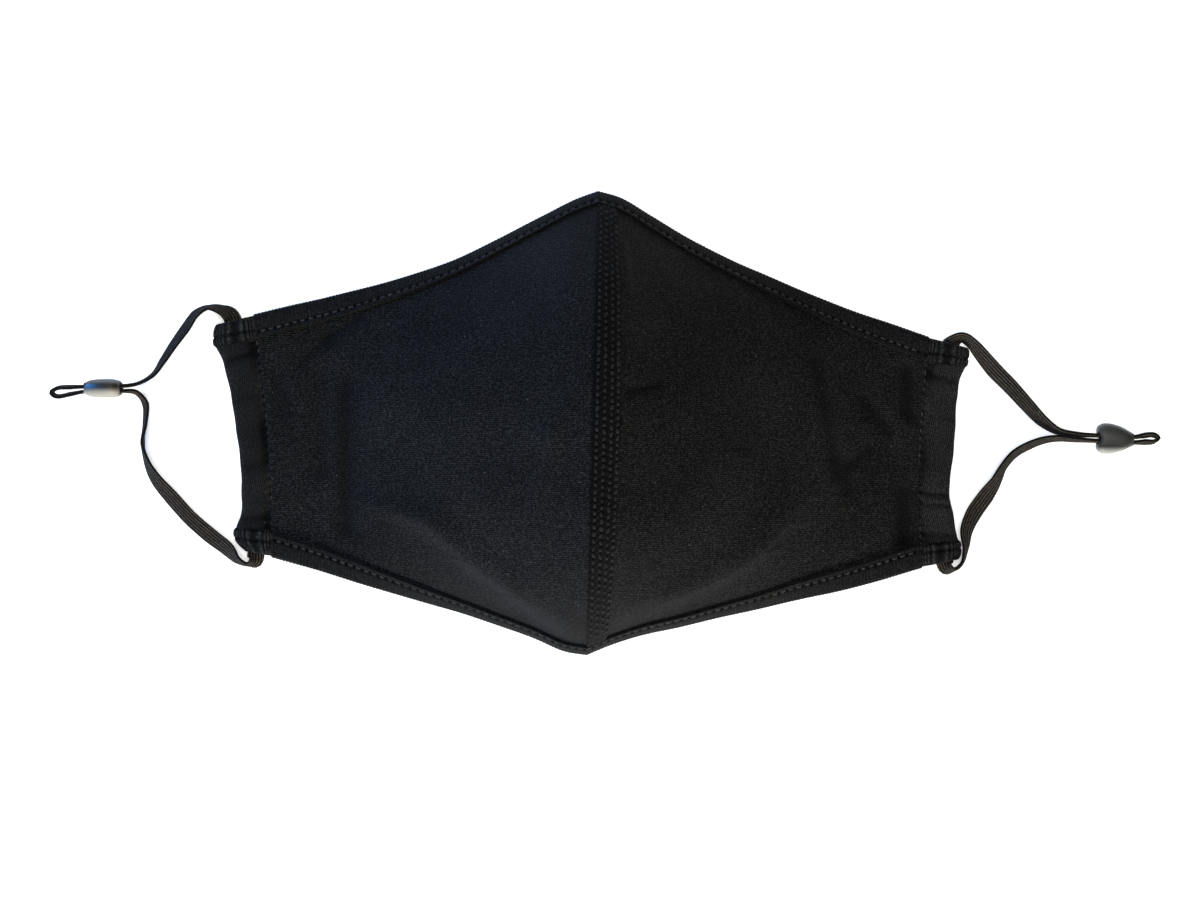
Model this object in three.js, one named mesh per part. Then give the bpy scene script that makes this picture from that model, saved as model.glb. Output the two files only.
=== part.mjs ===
// A cloth face mask with adjustable ear loops, lying face up on a flat surface.
// Millimetres, +Z up. The nose point is towards +Y, the chin point towards -Y, and the hollow
// for the face is open downwards. The origin is under the middle of the cloth body.

import * as THREE from 'three';
import { ParametricGeometry } from 'three/addons/geometries/ParametricGeometry.js';
import { mergeGeometries, mergeVertices } from 'three/addons/utils/BufferGeometryUtils.js';

const { lerp, clamp, degToRad } = THREE.MathUtils;

// ---------------------------------------------------------------- driving dimensions

const GAP = 0.3; // space kept between neighbouring pieces
const PANEL_WALL = 1.6; // two layers of cotton jersey
const TAPE_WALL = 1.0; // folded knit tape of the binding and the seam band
const BINDING_WIDTH = 6.0; // how far the binding reaches in from the edge
const EDGE_INSET = 1.6; // from the finished outline in to the cut edge of a panel
const BAND_END = BINDING_WIDTH + 2 * GAP; // where the seam band stops, in from the cut edge
const RIDGE_TOP_X = 1.7; // centre seam at the nose
const RIDGE_BOTTOM_X = -1.7; // centre seam at the chin
const RIDGE_CREST_Y = -10; // highest point of the ridge
const SIDE_CREST_Y = -4; // middle of the flat side edges

const CASING_HEIGHT = 3.8;
const CASING_WALL = 1.0;
const CASING_CHAMFER = 0.6; // share of the half height taken by the rolled corner

const ELASTIC_WIDTH = 5.2;
const ELASTIC_THICKNESS = 1.2;
const STRAND_OFFSET = 0.8; // from the middle of a toggle's slot to each strand
const GATHERED_WIDTH = 3.4; // width of the elastic squeezed inside a toggle

const TOGGLE_LENGTH = 11.2;
const TOGGLE_HALF_WIDTH = 4.6;
const TOGGLE_HALF_THICKNESS = 2.75;

// how finely the faceted solids are cut
const PANEL_COLUMNS = 20;
const PANEL_ROWS = 24;
const BINDING_STEPS = 20; // on each panel
const BAND_ROWS = 30;
const CASING_ROWS = 13;
const TOGGLE_RINGS = 8;
const TOGGLE_SIDES = 14;
const ELASTIC_STEPS_PER_POINT = 2;

// ---------------------------------------------------------------- tables

// Sections of a cheek panel, from the casing stitch line (at 0) to the centre seam (at 1):
// y of the finished top and bottom edge, height of the edge and of the crest above the surface,
// and how full the section is above and below the crest (the power of its rounding).
const SECTION_COLUMNS = ['at', 'top', 'bottom', 'rim', 'crest', 'fullTop', 'fullBottom'];

const LEFT_SECTIONS = [
  [0.0, 33.2, -40.7, 3.1, 3.3, 2.2, 2.4],
  [0.12, 36.2, -43.9, 3.2, 4.6, 2.2, 2.5],
  [0.24, 39.1, -47.5, 3.3, 8.0, 2.3, 2.6],
  [0.36, 42.2, -50.9, 3.4, 13.4, 2.3, 2.8],
  [0.48, 45.8, -54.1, 3.6, 19.4, 2.4, 3.0],
  [0.6, 50.3, -57.4, 3.9, 25.4, 2.5, 3.2],
  [0.72, 56.3, -61.1, 4.3, 31.0, 2.5, 3.4],
  [0.84, 62.6, -65.1, 4.9, 36.0, 2.6, 3.5],
  [0.93, 67.3, -68.7, 5.5, 39.4, 2.7, 3.6],
  [1.0, 69.9, -69.8, 6.0, 41.5, 2.7, 3.7],
];

const RIGHT_SECTIONS = [
  [0.0, 26.4, -43.9, 3.1, 3.3, 2.2, 2.4],
  [0.12, 30.6, -47.6, 3.2, 4.9, 2.2, 2.5],
  [0.24, 34.7, -50.8, 3.3, 8.6, 2.3, 2.7],
  [0.36, 39.4, -53.3, 3.4, 13.6, 2.3, 2.9],
  [0.48, 44.4, -56.1, 3.6, 19.2, 2.4, 3.1],
  [0.6, 49.6, -58.7, 3.9, 24.8, 2.5, 3.3],
  [0.72, 55.6, -61.5, 4.3, 30.2, 2.5, 3.4],
  [0.84, 62.6, -64.1, 4.9, 35.4, 2.6, 3.5],
  [0.93, 67.9, -66.9, 5.5, 39.1, 2.7, 3.6],
  [1.0, 69.9, -69.8, 6.0, 41.5, 2.7, 3.7],
];

// Dents (negative) and soft fold lines (positive) pressed into the panels: a straight stretch
// from one end to the other in plan, its height and the half width over which it fades.
const FOLD_COLUMNS = ['x0', 'y0', 'x1', 'y1', 'height', 'fade'];

const FOLDS = [
  // left cheek: jaw crease in three stretches, then the two soft upright dents
  [-71, -25, -48, -30, 1.0, 5],
  [-48, -30, -24, -50, 1.2, 5],
  [-24, -50, -9, -61, 1.0, 5],
  [-81, 14, -81, -13, -0.9, 5],
  [-70, 11, -70, -30, -1.0, 5],
  // right cheek: jaw crease, two slanted hollows, the fold line and the dent by the casing
  [16, -56, 41, -43, 1.0, 5],
  [41, -43, 59, -27, 1.0, 5],
  [19, 38, 22, 16, -1.2, 6],
  [39, 30, 54, -12, -1.6, 7],
  [64, 22, 74, -14, 1.2, 4.5],
  [83, 6, 90, -9, -0.8, 4.5],
];

// Seam band: its width beside the ridge, from the nose end (0) to the chin end (1).
const BAND_COLUMNS = ['at', 'width'];

const BAND_WIDTHS = [
  [0.0, 5.6],
  [0.25, 7.0],
  [0.5, 7.6],
  [0.75, 7.2],
  [1.0, 5.8],
];

// Outer edge of the folded casings, from the nose end (0) to the chin end (1).
// Both ends stand out a little where the folded binding makes them thicker.
const CASING_COLUMNS = ['at', 'x', 'y'];

const LEFT_CASING = [
  [0.0, -113.3, 29.0],
  [0.08, -113.5, 23.8],
  [0.14, -111.6, 19.8],
  [0.25, -109.7, 12.6],
  [0.4, -107.8, 2.4],
  [0.55, -106.4, -7.9],
  [0.7, -105.6, -18.3],
  [0.84, -105.8, -27.4],
  [0.9, -107.2, -31.4],
  [0.96, -107.0, -35.0],
  [1.0, -104.8, -37.8],
];

const RIGHT_CASING = [
  [0.0, 113.0, 22.0],
  [0.09, 112.3, 17.4],
  [0.15, 110.7, 13.6],
  [0.25, 109.8, 7.6],
  [0.4, 109.2, -2.2],
  [0.55, 108.3, -12.2],
  [0.68, 107.5, -20.4],
  [0.8, 108.6, -27.8],
  [0.88, 109.6, -33.0],
  [0.94, 110.5, -37.0],
  [1.0, 110.3, -40.2],
];

// Half width and half thickness of a toggle, as shares of the largest, along its length.
const TOGGLE_COLUMNS = ['at', 'wide', 'thick'];

const TOGGLE_SECTIONS = [
  [0.0, 0.66, 0.86],
  [0.07, 0.86, 0.92],
  [0.2, 0.99, 0.98],
  [0.35, 1.0, 1.0],
  [0.6, 0.86, 1.0],
  [0.8, 0.67, 0.95],
  [0.93, 0.54, 0.9],
  [1.0, 0.47, 0.86],
];

// Routes of the elastic, one whole loop each: from inside the casing out of its top mouth, through
// the toggle, round the small end loop, back, and up through the casing to where it began.
// lift is the clear height under the elastic, roll its lean (0 and 180 lie flat, 90 stands on edge).
const ROUTE_COLUMNS = ['x', 'y', 'lift', 'roll', 'width'];

const LEFT_ROUTE = [
  [-105.0, 16.0, 1.3, 0, 5.2],
  [-107.4, 27.0, 1.3, 0, 5.2],
  [-108.5, 31.8, 1.3, 0, 5.2],
  [-111.2, 34.0, 0.6, 55, 5.2],
  [-115.2, 34.9, 0.2, 76, 5.2],
  [-119.2, 33.0, 0.2, 58, 5.2],
  [-122.2, 28.9, 0.2, 50, 5.2],
  [-126.2, 23.3, 0.2, 56, 5.2],
  [-129.2, 18.7, 0.2, 62, 5.2],
  [-131.9, 14.8, 0.3, 72, 5.0],
  [-135.8, 12.2, 1.2, 84, 4.4],
  [-140.4, 11.2, 2.9, 90, 3.4],
  [-146.4, 11.3, 2.9, 90, 3.4],
  [-152.2, 11.0, 2.9, 90, 3.4],
  [-156.4, 10.85, 2.8, 78, 3.5],
  [-160.4, 10.55, 2.7, 80, 3.6],
  [-162.1, 9.3, 2.7, 90, 3.6],
  [-160.6, 8.1, 2.7, 100, 3.6],
  [-156.4, 8.75, 2.8, 102, 3.5],
  [-152.2, 9.5, 2.9, 90, 3.4],
  [-146.4, 9.7, 2.9, 90, 3.4],
  [-140.4, 9.7, 2.9, 90, 3.4],
  [-136.9, 9.3, 1.6, 74, 4.2],
  [-134.4, 6.0, 0.3, 62, 5.0],
  [-134.4, 0.4, 0.2, 70, 5.2],
  [-135.2, -5.9, 0.2, 84, 5.2],
  [-133.9, -11.6, 0.2, 64, 5.2],
  [-131.4, -16.6, 0.2, 42, 5.2],
  [-126.8, -22.2, 0.2, 24, 5.2],
  [-121.0, -28.6, 0.2, 22, 5.2],
  [-115.2, -33.7, 0.2, 18, 5.2],
  [-109.7, -37.9, 0.2, 28, 5.2],
  [-106.4, -41.2, 0.2, 65, 5.2],
  [-103.6, -42.4, 0.2, 84, 5.2],
  [-101.8, -41.9, 0.5, 50, 5.2],
  [-101.3, -39.5, 1.3, 0, 5.2],
  [-100.9, -34.0, 1.3, 0, 5.2],
  [-101.2, -18.0, 1.3, 0, 5.2],
  [-102.9, 2.0, 1.3, 0, 5.2],
  [-104.9, 15.4, 1.3, 0, 5.2],
];

const RIGHT_ROUTE = [
  [105.0, 10.0, 1.3, 0, 5.2],
  [106.6, 20.0, 1.3, 0, 5.2],
  [107.5, 23.2, 1.3, 0, 5.2],
  [109.2, 25.0, 0.7, 40, 5.2],
  [111.5, 25.8, 0.2, 62, 5.2],
  [114.3, 23.9, 0.2, 60, 5.2],
  [117.0, 20.7, 0.2, 44, 5.2],
  [121.1, 15.9, 0.2, 28, 5.2],
  [125.8, 11.1, 0.2, 34, 5.2],
  [131.0, 5.3, 0.2, 46, 5.2],
  [135.5, 0.6, 0.2, 58, 5.2],
  [140.0, -2.3, 0.2, 74, 5.0],
  [145.4, -3.3, 0.5, 78, 4.2],
  [150.9, -3.6, 1.05, 84, 3.4],
  [156.8, -3.85, 1.05, 90, 3.4],
  [162.7, -4.1, 1.05, 84, 3.4],
  [166.1, -3.6, 1, 70, 3.5],
  [168.8, -3.5, 0.9, 78, 3.6],
  [170.1, -4.5, 0.9, 90, 3.6],
  [168.8, -5.5, 0.9, 102, 3.6],
  [166.1, -5.6, 1, 110, 3.5],
  [162.7, -5.7, 1.05, 96, 3.4],
  [156.8, -5.45, 1.05, 90, 3.4],
  [150.9, -5.2, 1.05, 96, 3.4],
  [145.4, -4.9, 0.5, 102, 4.2],
  [140.3, -4.5, 0.2, 106, 5.0],
  [135.9, -5.0, 0.2, 112, 5.2],
  [131.4, -6.6, 0.2, 118, 5.2],
  [126.9, -9.2, 0.2, 120, 5.2],
  [123.5, -13.2, 0.2, 120, 5.2],
  [121.5, -17.2, 0.2, 135, 5.2],
  [118.5, -22.0, 0.2, 168, 5.2],
  [114.9, -27.2, 0.2, 168, 5.2],
  [112.6, -32.2, 0.2, 146, 5.2],
  [112.2, -37.6, 0.2, 114, 5.2],
  [111.1, -42.0, 0.2, 100, 5.2],
  [108.9, -43.9, 0.2, 96, 5.2],
  [107.1, -43.9, 0.5, 130, 5.2],
  [106.1, -41.9, 1.3, 180, 5.2],
  [105.5, -36.0, 1.3, 180, 5.2],
  [103.6, -18.0, 1.3, 180, 5.2],
  [104.9, 9.4, 1.3, 180, 5.2],
];

// ---------------------------------------------------------------- table helpers

// A smooth curve through the rows of a table: gives a function from the first column to the others.
function smoothTable(columns, rows) {
  const keys = rows.map((row) => row[0]);
  const values = rows.flatMap((row) => row.slice(1));
  const spline = new THREE.CubicInterpolant(keys, values, columns.length - 1);
  const names = columns.slice(1);
  return (at) => {
    const found = spline.evaluate(at);
    return Object.fromEntries(names.map((name, k) => [name, found[k]]));
  };
}

function namedRows(columns, rows) {
  return rows.map((row) => Object.fromEntries(columns.map((name, k) => [name, row[k]])));
}

// ---------------------------------------------------------------- closed bodies

// Merges the faces of a body into one closed mesh and turns it the right way out.
function closeBody(faces) {
  const merged = mergeGeometries(faces);
  merged.deleteAttribute('normal');
  merged.deleteAttribute('uv');
  const body = mergeVertices(merged, 1e-4);
  const place = body.getAttribute('position');
  const corner = [0, 1, 2].map(() => new THREE.Vector3());
  const kept = [];
  let volume = 0;
  for (let k = 0; k < body.index.count; k += 3) {
    const triangle = [0, 1, 2].map((side) => body.index.getX(k + side));
    if (new Set(triangle).size < 3) continue;
    triangle.forEach((point, side) => corner[side].fromBufferAttribute(place, point));
    volume += corner[0].dot(corner[1].clone().cross(corner[2]));
    kept.push(triangle);
  }
  body.setIndex((volume < 0 ? kept.map((triangle) => triangle.reverse()) : kept).flat());
  body.computeVertexNormals();
  return body;
}

// A wall with two skins: point(u, v, w) with w = 0 on the inner skin and w = 1 on the outer one.
// A wall that runs right round (ring) has no edges along v, only its two end faces.
function wall(point, columns, rows, ring = false) {
  const face = (place, slices, stacks) =>
    new ParametricGeometry((a, b, target) => target.copy(place(a, b)), slices, stacks);
  const faces = [
    face((a, b) => point(a, b, 1), columns, rows),
    face((a, b) => point(b, a, 0), rows, columns),
    face((a, b) => point(0, b, a), 1, rows),
    face((a, b) => point(1, a, b), rows, 1),
  ];
  if (!ring) {
    faces.push(face((a, b) => point(a, 0, b), columns, 1));
    faces.push(face((a, b) => point(b, 1, a), 1, columns));
  }
  return closeBody(faces);
}

// ---------------------------------------------------------------- the curved shell

const folds = namedRows(FOLD_COLUMNS, FOLDS);

function foldHeight(x, y) {
  let height = 0;
  for (const fold of folds) {
    const dx = fold.x1 - fold.x0;
    const dy = fold.y1 - fold.y0;
    const along = clamp(((x - fold.x0) * dx + (y - fold.y0) * dy) / (dx * dx + dy * dy), 0, 1);
    const away = Math.hypot(x - fold.x0 - along * dx, y - fold.y0 - along * dy);
    height += fold.height * Math.exp(-((away / fold.fade) ** 2));
  }
  return height;
}

// sideTop and sideBottom are the ends of the casing stitch line, sideBow how far it curves inwards
const leftCheek = {
  section: smoothTable(SECTION_COLUMNS, LEFT_SECTIONS),
  sideTop: -101.8,
  sideBottom: -96.4,
  sideBow: 1.6,
};

const rightCheek = {
  section: smoothTable(SECTION_COLUMNS, RIGHT_SECTIONS),
  sideTop: 101.2,
  sideBottom: 99.0,
  sideBow: -1.7,
};

// A point on the outer surface of a cheek: u from the casing to the centre seam,
// t evenly in y from the cut edge at the nose side to the cut edge at the chin side.
function shellPoint(cheek, u, t) {
  const row = cheek.section(u);
  const topX = lerp(cheek.sideTop, RIDGE_TOP_X, u);
  const bottomX = lerp(cheek.sideBottom, RIDGE_BOTTOM_X, u);
  const bow = cheek.sideBow * 4 * t * (1 - t) * (1 - u) ** 2;
  const x = lerp(topX, bottomX, t) + bow;
  const top = row.top - EDGE_INSET;
  const bottom = row.bottom + EDGE_INSET;
  const y = lerp(top, bottom, t);
  const crestY = lerp(SIDE_CREST_Y, RIDGE_CREST_Y, u);
  const reach = y > crestY ? top - crestY : crestY - bottom;
  const power = y > crestY ? row.fullTop : row.fullBottom;
  const drop = Math.min(Math.abs(y - crestY) / reach, 1) ** power;
  const fade = Math.sin(Math.PI * clamp(t, 0, 1)); // folds die out towards the bound edges
  const z = row.rim + (row.crest - row.rim) * (1 - drop) + fade * foldHeight(x, y);
  return new THREE.Vector3(x, y, z);
}

// The direction in which t runs on the surface, kept in the plane of the section.
function shellDown(cheek, u, t) {
  const step = 0.004;
  const before = shellPoint(cheek, u, Math.max(t - step, 0));
  const after = shellPoint(cheek, u, Math.min(t + step, 1));
  return after.sub(before).setX(0).normalize();
}

// Off the surface along the normal of the section; the seam and the side edges stay in line.
function liftedPoint(cheek, u, t, lift) {
  const down = shellDown(cheek, u, t);
  const out = new THREE.Vector3(0, down.z, -down.y);
  return shellPoint(cheek, u, t).addScaledVector(out, lift);
}

function cheekPanel(cheek) {
  const seam = 1 - GAP / 2 / Math.abs(cheek.sideTop);
  const crowd = (v) => (1 - Math.cos(Math.PI * v)) / 2; // rows closer together near the edges
  return wall(
    (u, v, w) => liftedPoint(cheek, u * seam, crowd(v), (w - 1) * PANEL_WALL),
    PANEL_COLUMNS,
    PANEL_ROWS,
  );
}

// How much of t lies within a distance of the cut edge, measured on the surface.
// end is 0 for the nose edge and 1 for the chin edge.
function reachIn(cheek, u, end, distance) {
  const row = cheek.section(u);
  const span = row.top - row.bottom - 2 * EDGE_INSET;
  return (distance * Math.abs(shellDown(cheek, u, end).y)) / span;
}

function seamBand() {
  const widthAt = smoothTable(BAND_COLUMNS, BAND_WIDTHS);
  const first = reachIn(rightCheek, 1, 0, BAND_END);
  const last = 1 - reachIn(rightCheek, 1, 1, BAND_END);
  return wall(
    (u, v, w) => {
      const across = GAP / 2 + u * widthAt(v).width;
      const at = 1 - across / (rightCheek.sideTop - RIDGE_TOP_X);
      return liftedPoint(rightCheek, at, lerp(first, last, v), GAP + w * TAPE_WALL);
    },
    2,
    BAND_ROWS,
  );
}

// ---------------------------------------------------------------- edge binding

// The binding wraps the cut edge: rows of [reach in from the edge, side, corner], where side is
// +1 above the panel, -1 below it and 0 round the edge, and corner marks the rolled corners.
const BINDING_ROW_COLUMNS = ['inward', 'side', 'corner'];

const BINDING_ROWS = [
  [BINDING_WIDTH, 1, false],
  [BINDING_WIDTH / 2, 1, false],
  [0, 1, false],
  [0, 1, true],
  [0, 0, false],
  [0, -1, true],
  [0, -1, false],
  [BINDING_WIDTH / 2, -1, false],
  [BINDING_WIDTH, -1, false],
];

const bindingRows = namedRows(BINDING_ROW_COLUMNS, BINDING_ROWS);

function edgeBinding(end) {
  const inwards = end === 0 ? 1 : -1;
  return wall(
    (u, v, w) => {
      const cheek = u < 0.5 ? leftCheek : rightCheek;
      const at = u < 0.5 ? 2 * u : 2 - 2 * u;
      const row = bindingRows[Math.round(v * (bindingRows.length - 1))];
      const away = GAP + w * TAPE_WALL;
      const over = row.corner ? away * Math.SQRT1_2 : away;
      const past = row.corner ? over : row.side === 0 ? away : 0;
      const lift = -PANEL_WALL / 2 + row.side * (PANEL_WALL / 2 + over);
      const t = end + inwards * reachIn(cheek, at, end, row.inward);
      const down = shellDown(cheek, at, end);
      return liftedPoint(cheek, at, t, lift).addScaledVector(down, -inwards * past);
    },
    2 * BINDING_STEPS,
    bindingRows.length - 1,
  );
}

// ---------------------------------------------------------------- casings

// Section of a casing: a flat tube with rolled corners, half sizes a and b, point k of 8.
function tubeCorner(k, a, b) {
  const c = b * CASING_CHAMFER;
  const corners = [
    [a - c, b],
    [a, b - c],
    [a, c - b],
    [a - c, -b],
    [c - a, -b],
    [-a, c - b],
    [-a, b - c],
    [c - a, b],
  ];
  return corners[k % corners.length];
}

function casing(cheek, rows) {
  const outerEdge = smoothTable(CASING_COLUMNS, rows);
  const keys = rows.map((row) => row[0]);
  return wall(
    (u, v, w) => {
      const spread = u * (keys.length - 1);
      const low = Math.min(Math.floor(spread), keys.length - 2);
      const at = lerp(keys[low], keys[low + 1], spread - low);
      const edge = outerEdge(at);
      const outer = new THREE.Vector3(edge.x, edge.y, 0);
      const inner = shellPoint(cheek, 0, at).setZ(0);
      const across = inner.clone().sub(outer);
      inner.addScaledVector(across, -GAP / across.length());
      const inset = (1 - w) * CASING_WALL;
      const middle = outer.clone().add(inner).divideScalar(2);
      const halfWidth = outer.distanceTo(inner) / 2 - inset;
      const [side, up] = tubeCorner(Math.round(v * 8), halfWidth, CASING_HEIGHT / 2 - inset);
      return middle.addScaledVector(across.normalize(), side).setZ(CASING_HEIGHT / 2 + up);
    },
    CASING_ROWS,
    8,
    true,
  );
}

// ---------------------------------------------------------------- ear loops

// A route for flat elastic. Its sections are set at the route's own points, and they lean and
// narrow as the route's table says instead of following the bends of the curve.
class ElasticRoute extends THREE.CatmullRomCurve3 {
  constructor(rows) {
    const table = namedRows(ROUTE_COLUMNS, rows);
    const halfHeight = (row) => {
      const roll = degToRad(row.roll);
      return (Math.sin(roll) * row.width + Math.abs(Math.cos(roll)) * ELASTIC_THICKNESS) / 2;
    };
    super(table.map((row) => new THREE.Vector3(row.x, row.y, row.lift + halfHeight(row))));
    this.table = table;
  }

  getSpacedPoints(divisions) {
    return this.getPoints(divisions);
  }

  computeFrenetFrames(segments) {
    const frames = { tangents: [], normals: [], binormals: [] };
    const up = new THREE.Vector3(0, 0, 1);
    for (let k = 0; k <= segments; k += 1) {
      const spread = (k / segments) * (this.table.length - 1);
      const low = Math.min(Math.floor(spread), this.table.length - 2);
      const before = this.table[low];
      const after = this.table[low + 1];
      const roll = degToRad(lerp(before.roll, after.roll, spread - low));
      const share = lerp(before.width, after.width, spread - low) / ELASTIC_WIDTH;
      const tangent = this.getTangent(k / segments);
      const side = up.clone().cross(tangent).normalize();
      const rise = tangent.clone().cross(side);
      const across = side.multiplyScalar(Math.cos(roll)).addScaledVector(rise, Math.sin(roll));
      frames.tangents.push(tangent);
      frames.normals.push(across.clone().cross(tangent));
      frames.binormals.push(across.multiplyScalar(share));
    }
    return frames;
  }
}

function earLoop(rows) {
  const halfThick = ELASTIC_THICKNESS / 2;
  const halfWide = ELASTIC_WIDTH / 2;
  const section = new THREE.Shape([
    new THREE.Vector2(-halfThick, -halfWide + halfThick),
    new THREE.Vector2(-halfThick / 2, -halfWide),
    new THREE.Vector2(halfThick / 2, -halfWide),
    new THREE.Vector2(halfThick, -halfWide + halfThick),
    new THREE.Vector2(halfThick, halfWide - halfThick),
    new THREE.Vector2(halfThick / 2, halfWide),
    new THREE.Vector2(-halfThick / 2, halfWide),
    new THREE.Vector2(-halfThick, halfWide - halfThick),
  ]);
  const extrudePath = new ElasticRoute(rows);
  const steps = ELASTIC_STEPS_PER_POINT * (rows.length - 1);
  return closeBody([new THREE.ExtrudeGeometry(section, { steps, extrudePath })]);
}

// ---------------------------------------------------------------- toggles

// A flattened bead, broad at the mask's end, with a slot along it for the two strands.
// Its own frame: x along the slot from the broad end, y across its width, z through it.
function toggle(slotHalfWidth, slotHalfThickness) {
  const shape = smoothTable(TOGGLE_COLUMNS, TOGGLE_SECTIONS);
  const softBox = (angle, a, b, power) => [
    a * Math.sign(Math.cos(angle)) * Math.abs(Math.cos(angle)) ** power,
    b * Math.sign(Math.sin(angle)) * Math.abs(Math.sin(angle)) ** power,
  ];
  return wall(
    (u, v, w) => {
      const size = shape(u);
      const angle = 2 * Math.PI * v;
      const halfWidth = w ? TOGGLE_HALF_WIDTH * size.wide : slotHalfWidth;
      const halfThickness = w ? TOGGLE_HALF_THICKNESS * size.thick : slotHalfThickness;
      const [y, z] = softBox(angle, halfWidth, halfThickness, w ? 0.85 : 0.4);
      return new THREE.Vector3((u - 0.5) * TOGGLE_LENGTH, y, z);
    },
    TOGGLE_RINGS,
    TOGGLE_SIDES,
    true,
  );
}

// ---------------------------------------------------------------- finishes and assembly

const finish = (color, roughness, metalness = 0) =>
  new THREE.MeshStandardMaterial({ color, roughness, metalness });

const mask = new THREE.Group();

function addPiece(name, geometry, material) {
  const piece = new THREE.Mesh(geometry, material);
  piece.name = name;
  mask.add(piece);
  return piece;
}

addPiece('panel_left', cheekPanel(leftCheek), finish('#17181b', 0.92));
addPiece('panel_right', cheekPanel(rightCheek), finish('#17181b', 0.92));
addPiece('centre_seam_band', seamBand(), finish('#131315', 0.9));
addPiece('binding_top', edgeBinding(0), finish('#1a1a1c', 0.9));
addPiece('binding_bottom', edgeBinding(1), finish('#1a1a1c', 0.9));
addPiece('casing_left', casing(leftCheek, LEFT_CASING), finish('#17181b', 0.92));
addPiece('casing_right', casing(rightCheek, RIGHT_CASING), finish('#17181b', 0.92));
addPiece('ear_loop_left', earLoop(LEFT_ROUTE), finish('#2b2a29', 0.8));
addPiece('ear_loop_right', earLoop(RIGHT_ROUTE), finish('#2b2a29', 0.8));

const acrossSlot = STRAND_OFFSET + ELASTIC_THICKNESS / 2 + GAP;
const alongSlot = GATHERED_WIDTH / 2 + GAP;

// the left toggle stands on its rim, pointing away from the mask
const toggleLeft = addPiece('toggle_left', toggle(alongSlot, acrossSlot), finish('#4a4b4d', 0.35));
toggleLeft.position.set(-146.4, 10.5, TOGGLE_HALF_WIDTH);
toggleLeft.setRotationFromMatrix(
  new THREE.Matrix4().makeBasis(
    new THREE.Vector3(-1, 0, 0),
    new THREE.Vector3(0, 0, 1),
    new THREE.Vector3(0, 1, 0),
  ),
);

// the right toggle lies on its broad face, turned a little with the strands
const toggleRight = addPiece('toggle_right', toggle(acrossSlot, alongSlot), finish('#4a4b4d', 0.35));
toggleRight.position.set(156.8, -4.65, TOGGLE_HALF_THICKNESS);
toggleRight.rotation.z = degToRad(-2.4);

export default mask;
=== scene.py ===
# %% [markdown]
# # A black cloth face mask, lying face up
#
# The mask has two cheek panels of black jersey that meet in a raised seam down the middle. A ribbed
# tape binds the top and bottom edges, the sides are folded into casings, and a flat elastic runs
# through each casing, with a small soft toggle on its loop.
#
# The CAD frame already has the sizes of every piece, so it is loaded first, and each piece is then
# modelled over its own CAD node. Cloth is measured in millimetres, so the tables here are in
# millimetres too, and one helper turns them into Blender's metres.

import math

import bmesh
import bpy
import numpy as np
from mathutils import Matrix, Vector


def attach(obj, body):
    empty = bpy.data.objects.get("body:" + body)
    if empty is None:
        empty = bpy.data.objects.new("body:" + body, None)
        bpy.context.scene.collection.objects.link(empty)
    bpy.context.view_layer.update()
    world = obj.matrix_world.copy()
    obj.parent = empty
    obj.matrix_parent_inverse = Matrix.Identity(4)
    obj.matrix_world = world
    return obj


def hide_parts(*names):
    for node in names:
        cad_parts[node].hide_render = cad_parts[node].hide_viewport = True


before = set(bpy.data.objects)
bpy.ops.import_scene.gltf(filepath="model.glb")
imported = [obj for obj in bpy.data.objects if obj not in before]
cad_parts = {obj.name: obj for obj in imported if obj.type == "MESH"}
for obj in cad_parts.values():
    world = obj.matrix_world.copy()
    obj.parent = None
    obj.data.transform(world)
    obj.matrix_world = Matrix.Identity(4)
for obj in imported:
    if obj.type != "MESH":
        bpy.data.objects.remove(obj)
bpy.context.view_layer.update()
MM = 0.001
print("CAD pieces:", len(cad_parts))

# %% [markdown]
# ## The camera
#
# The mask is seen from straight above, with the nose towards the top. A camera that isn't turned
# looks down its own -Z with +Y up, which is just this view, so only its place and lens are set. The
# lens follows from how wide a strip of the table it takes in: sensor width times height over width.

# %% Camera
CAMERA_HEIGHT = 0.62
VIEW_WIDTH = 0.3624
SENSOR_WIDTH = 36.0

camera = bpy.data.objects.new("camera", bpy.data.cameras.new("camera"))
camera.data.sensor_width = SENSOR_WIDTH
camera.data.lens = SENSOR_WIDTH * CAMERA_HEIGHT / VIEW_WIDTH
camera.location = (0.0023, -0.008, CAMERA_HEIGHT)
bpy.context.scene.collection.objects.link(camera)
bpy.context.scene.camera = camera
print("lens", round(camera.data.lens, 1), "mm")

# %% [markdown]
# ## Tables made smooth
#
# Most shapes on the mask are drawn from short tables of measured places. Straight lines between the
# rows would leave corners in the cloth, so a cubic curve is put through each column. Its slope at a
# row is the mean of the slopes on both sides, which never overshoots much.


# %% Smooth tables
def smooth_table(rows):
    """A function from the first column of a table to all of its other columns."""
    table = np.array(rows, float)
    keys, values = table[:, 0], table[:, 1:]
    steps = np.diff(values, axis=0) / np.diff(keys)[:, None]
    slopes = np.vstack([steps[:1], (steps[:-1] + steps[1:]) / 2, steps[-1:]])

    def look_up(at):
        at = np.clip(np.asarray(at, float), keys[0], keys[-1])
        k = np.clip(np.searchsorted(keys, at, side="right") - 1, 0, len(keys) - 2)
        gap = (keys[k + 1] - keys[k])[..., None]
        p = (at - keys[k])[..., None] / gap
        start = values[k] * (1 + 2 * p) * (1 - p) ** 2 + slopes[k] * gap * p * (1 - p) ** 2
        return start + values[k + 1] * p * p * (3 - 2 * p) + slopes[k + 1] * gap * p * p * (p - 1)

    return look_up


def unit(vectors):
    return vectors / np.linalg.norm(vectors, axis=-1, keepdims=True)


def mix(a, b, share):
    return a + (b - a) * share


def bump(distance, width):
    """One at no distance, falling softly to nothing a few widths away."""
    return np.exp(-((distance / width) ** 2))


print("smooth_table halfway:", smooth_table([[0, 0], [1, 2], [2, 2]])(0.5))

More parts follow.
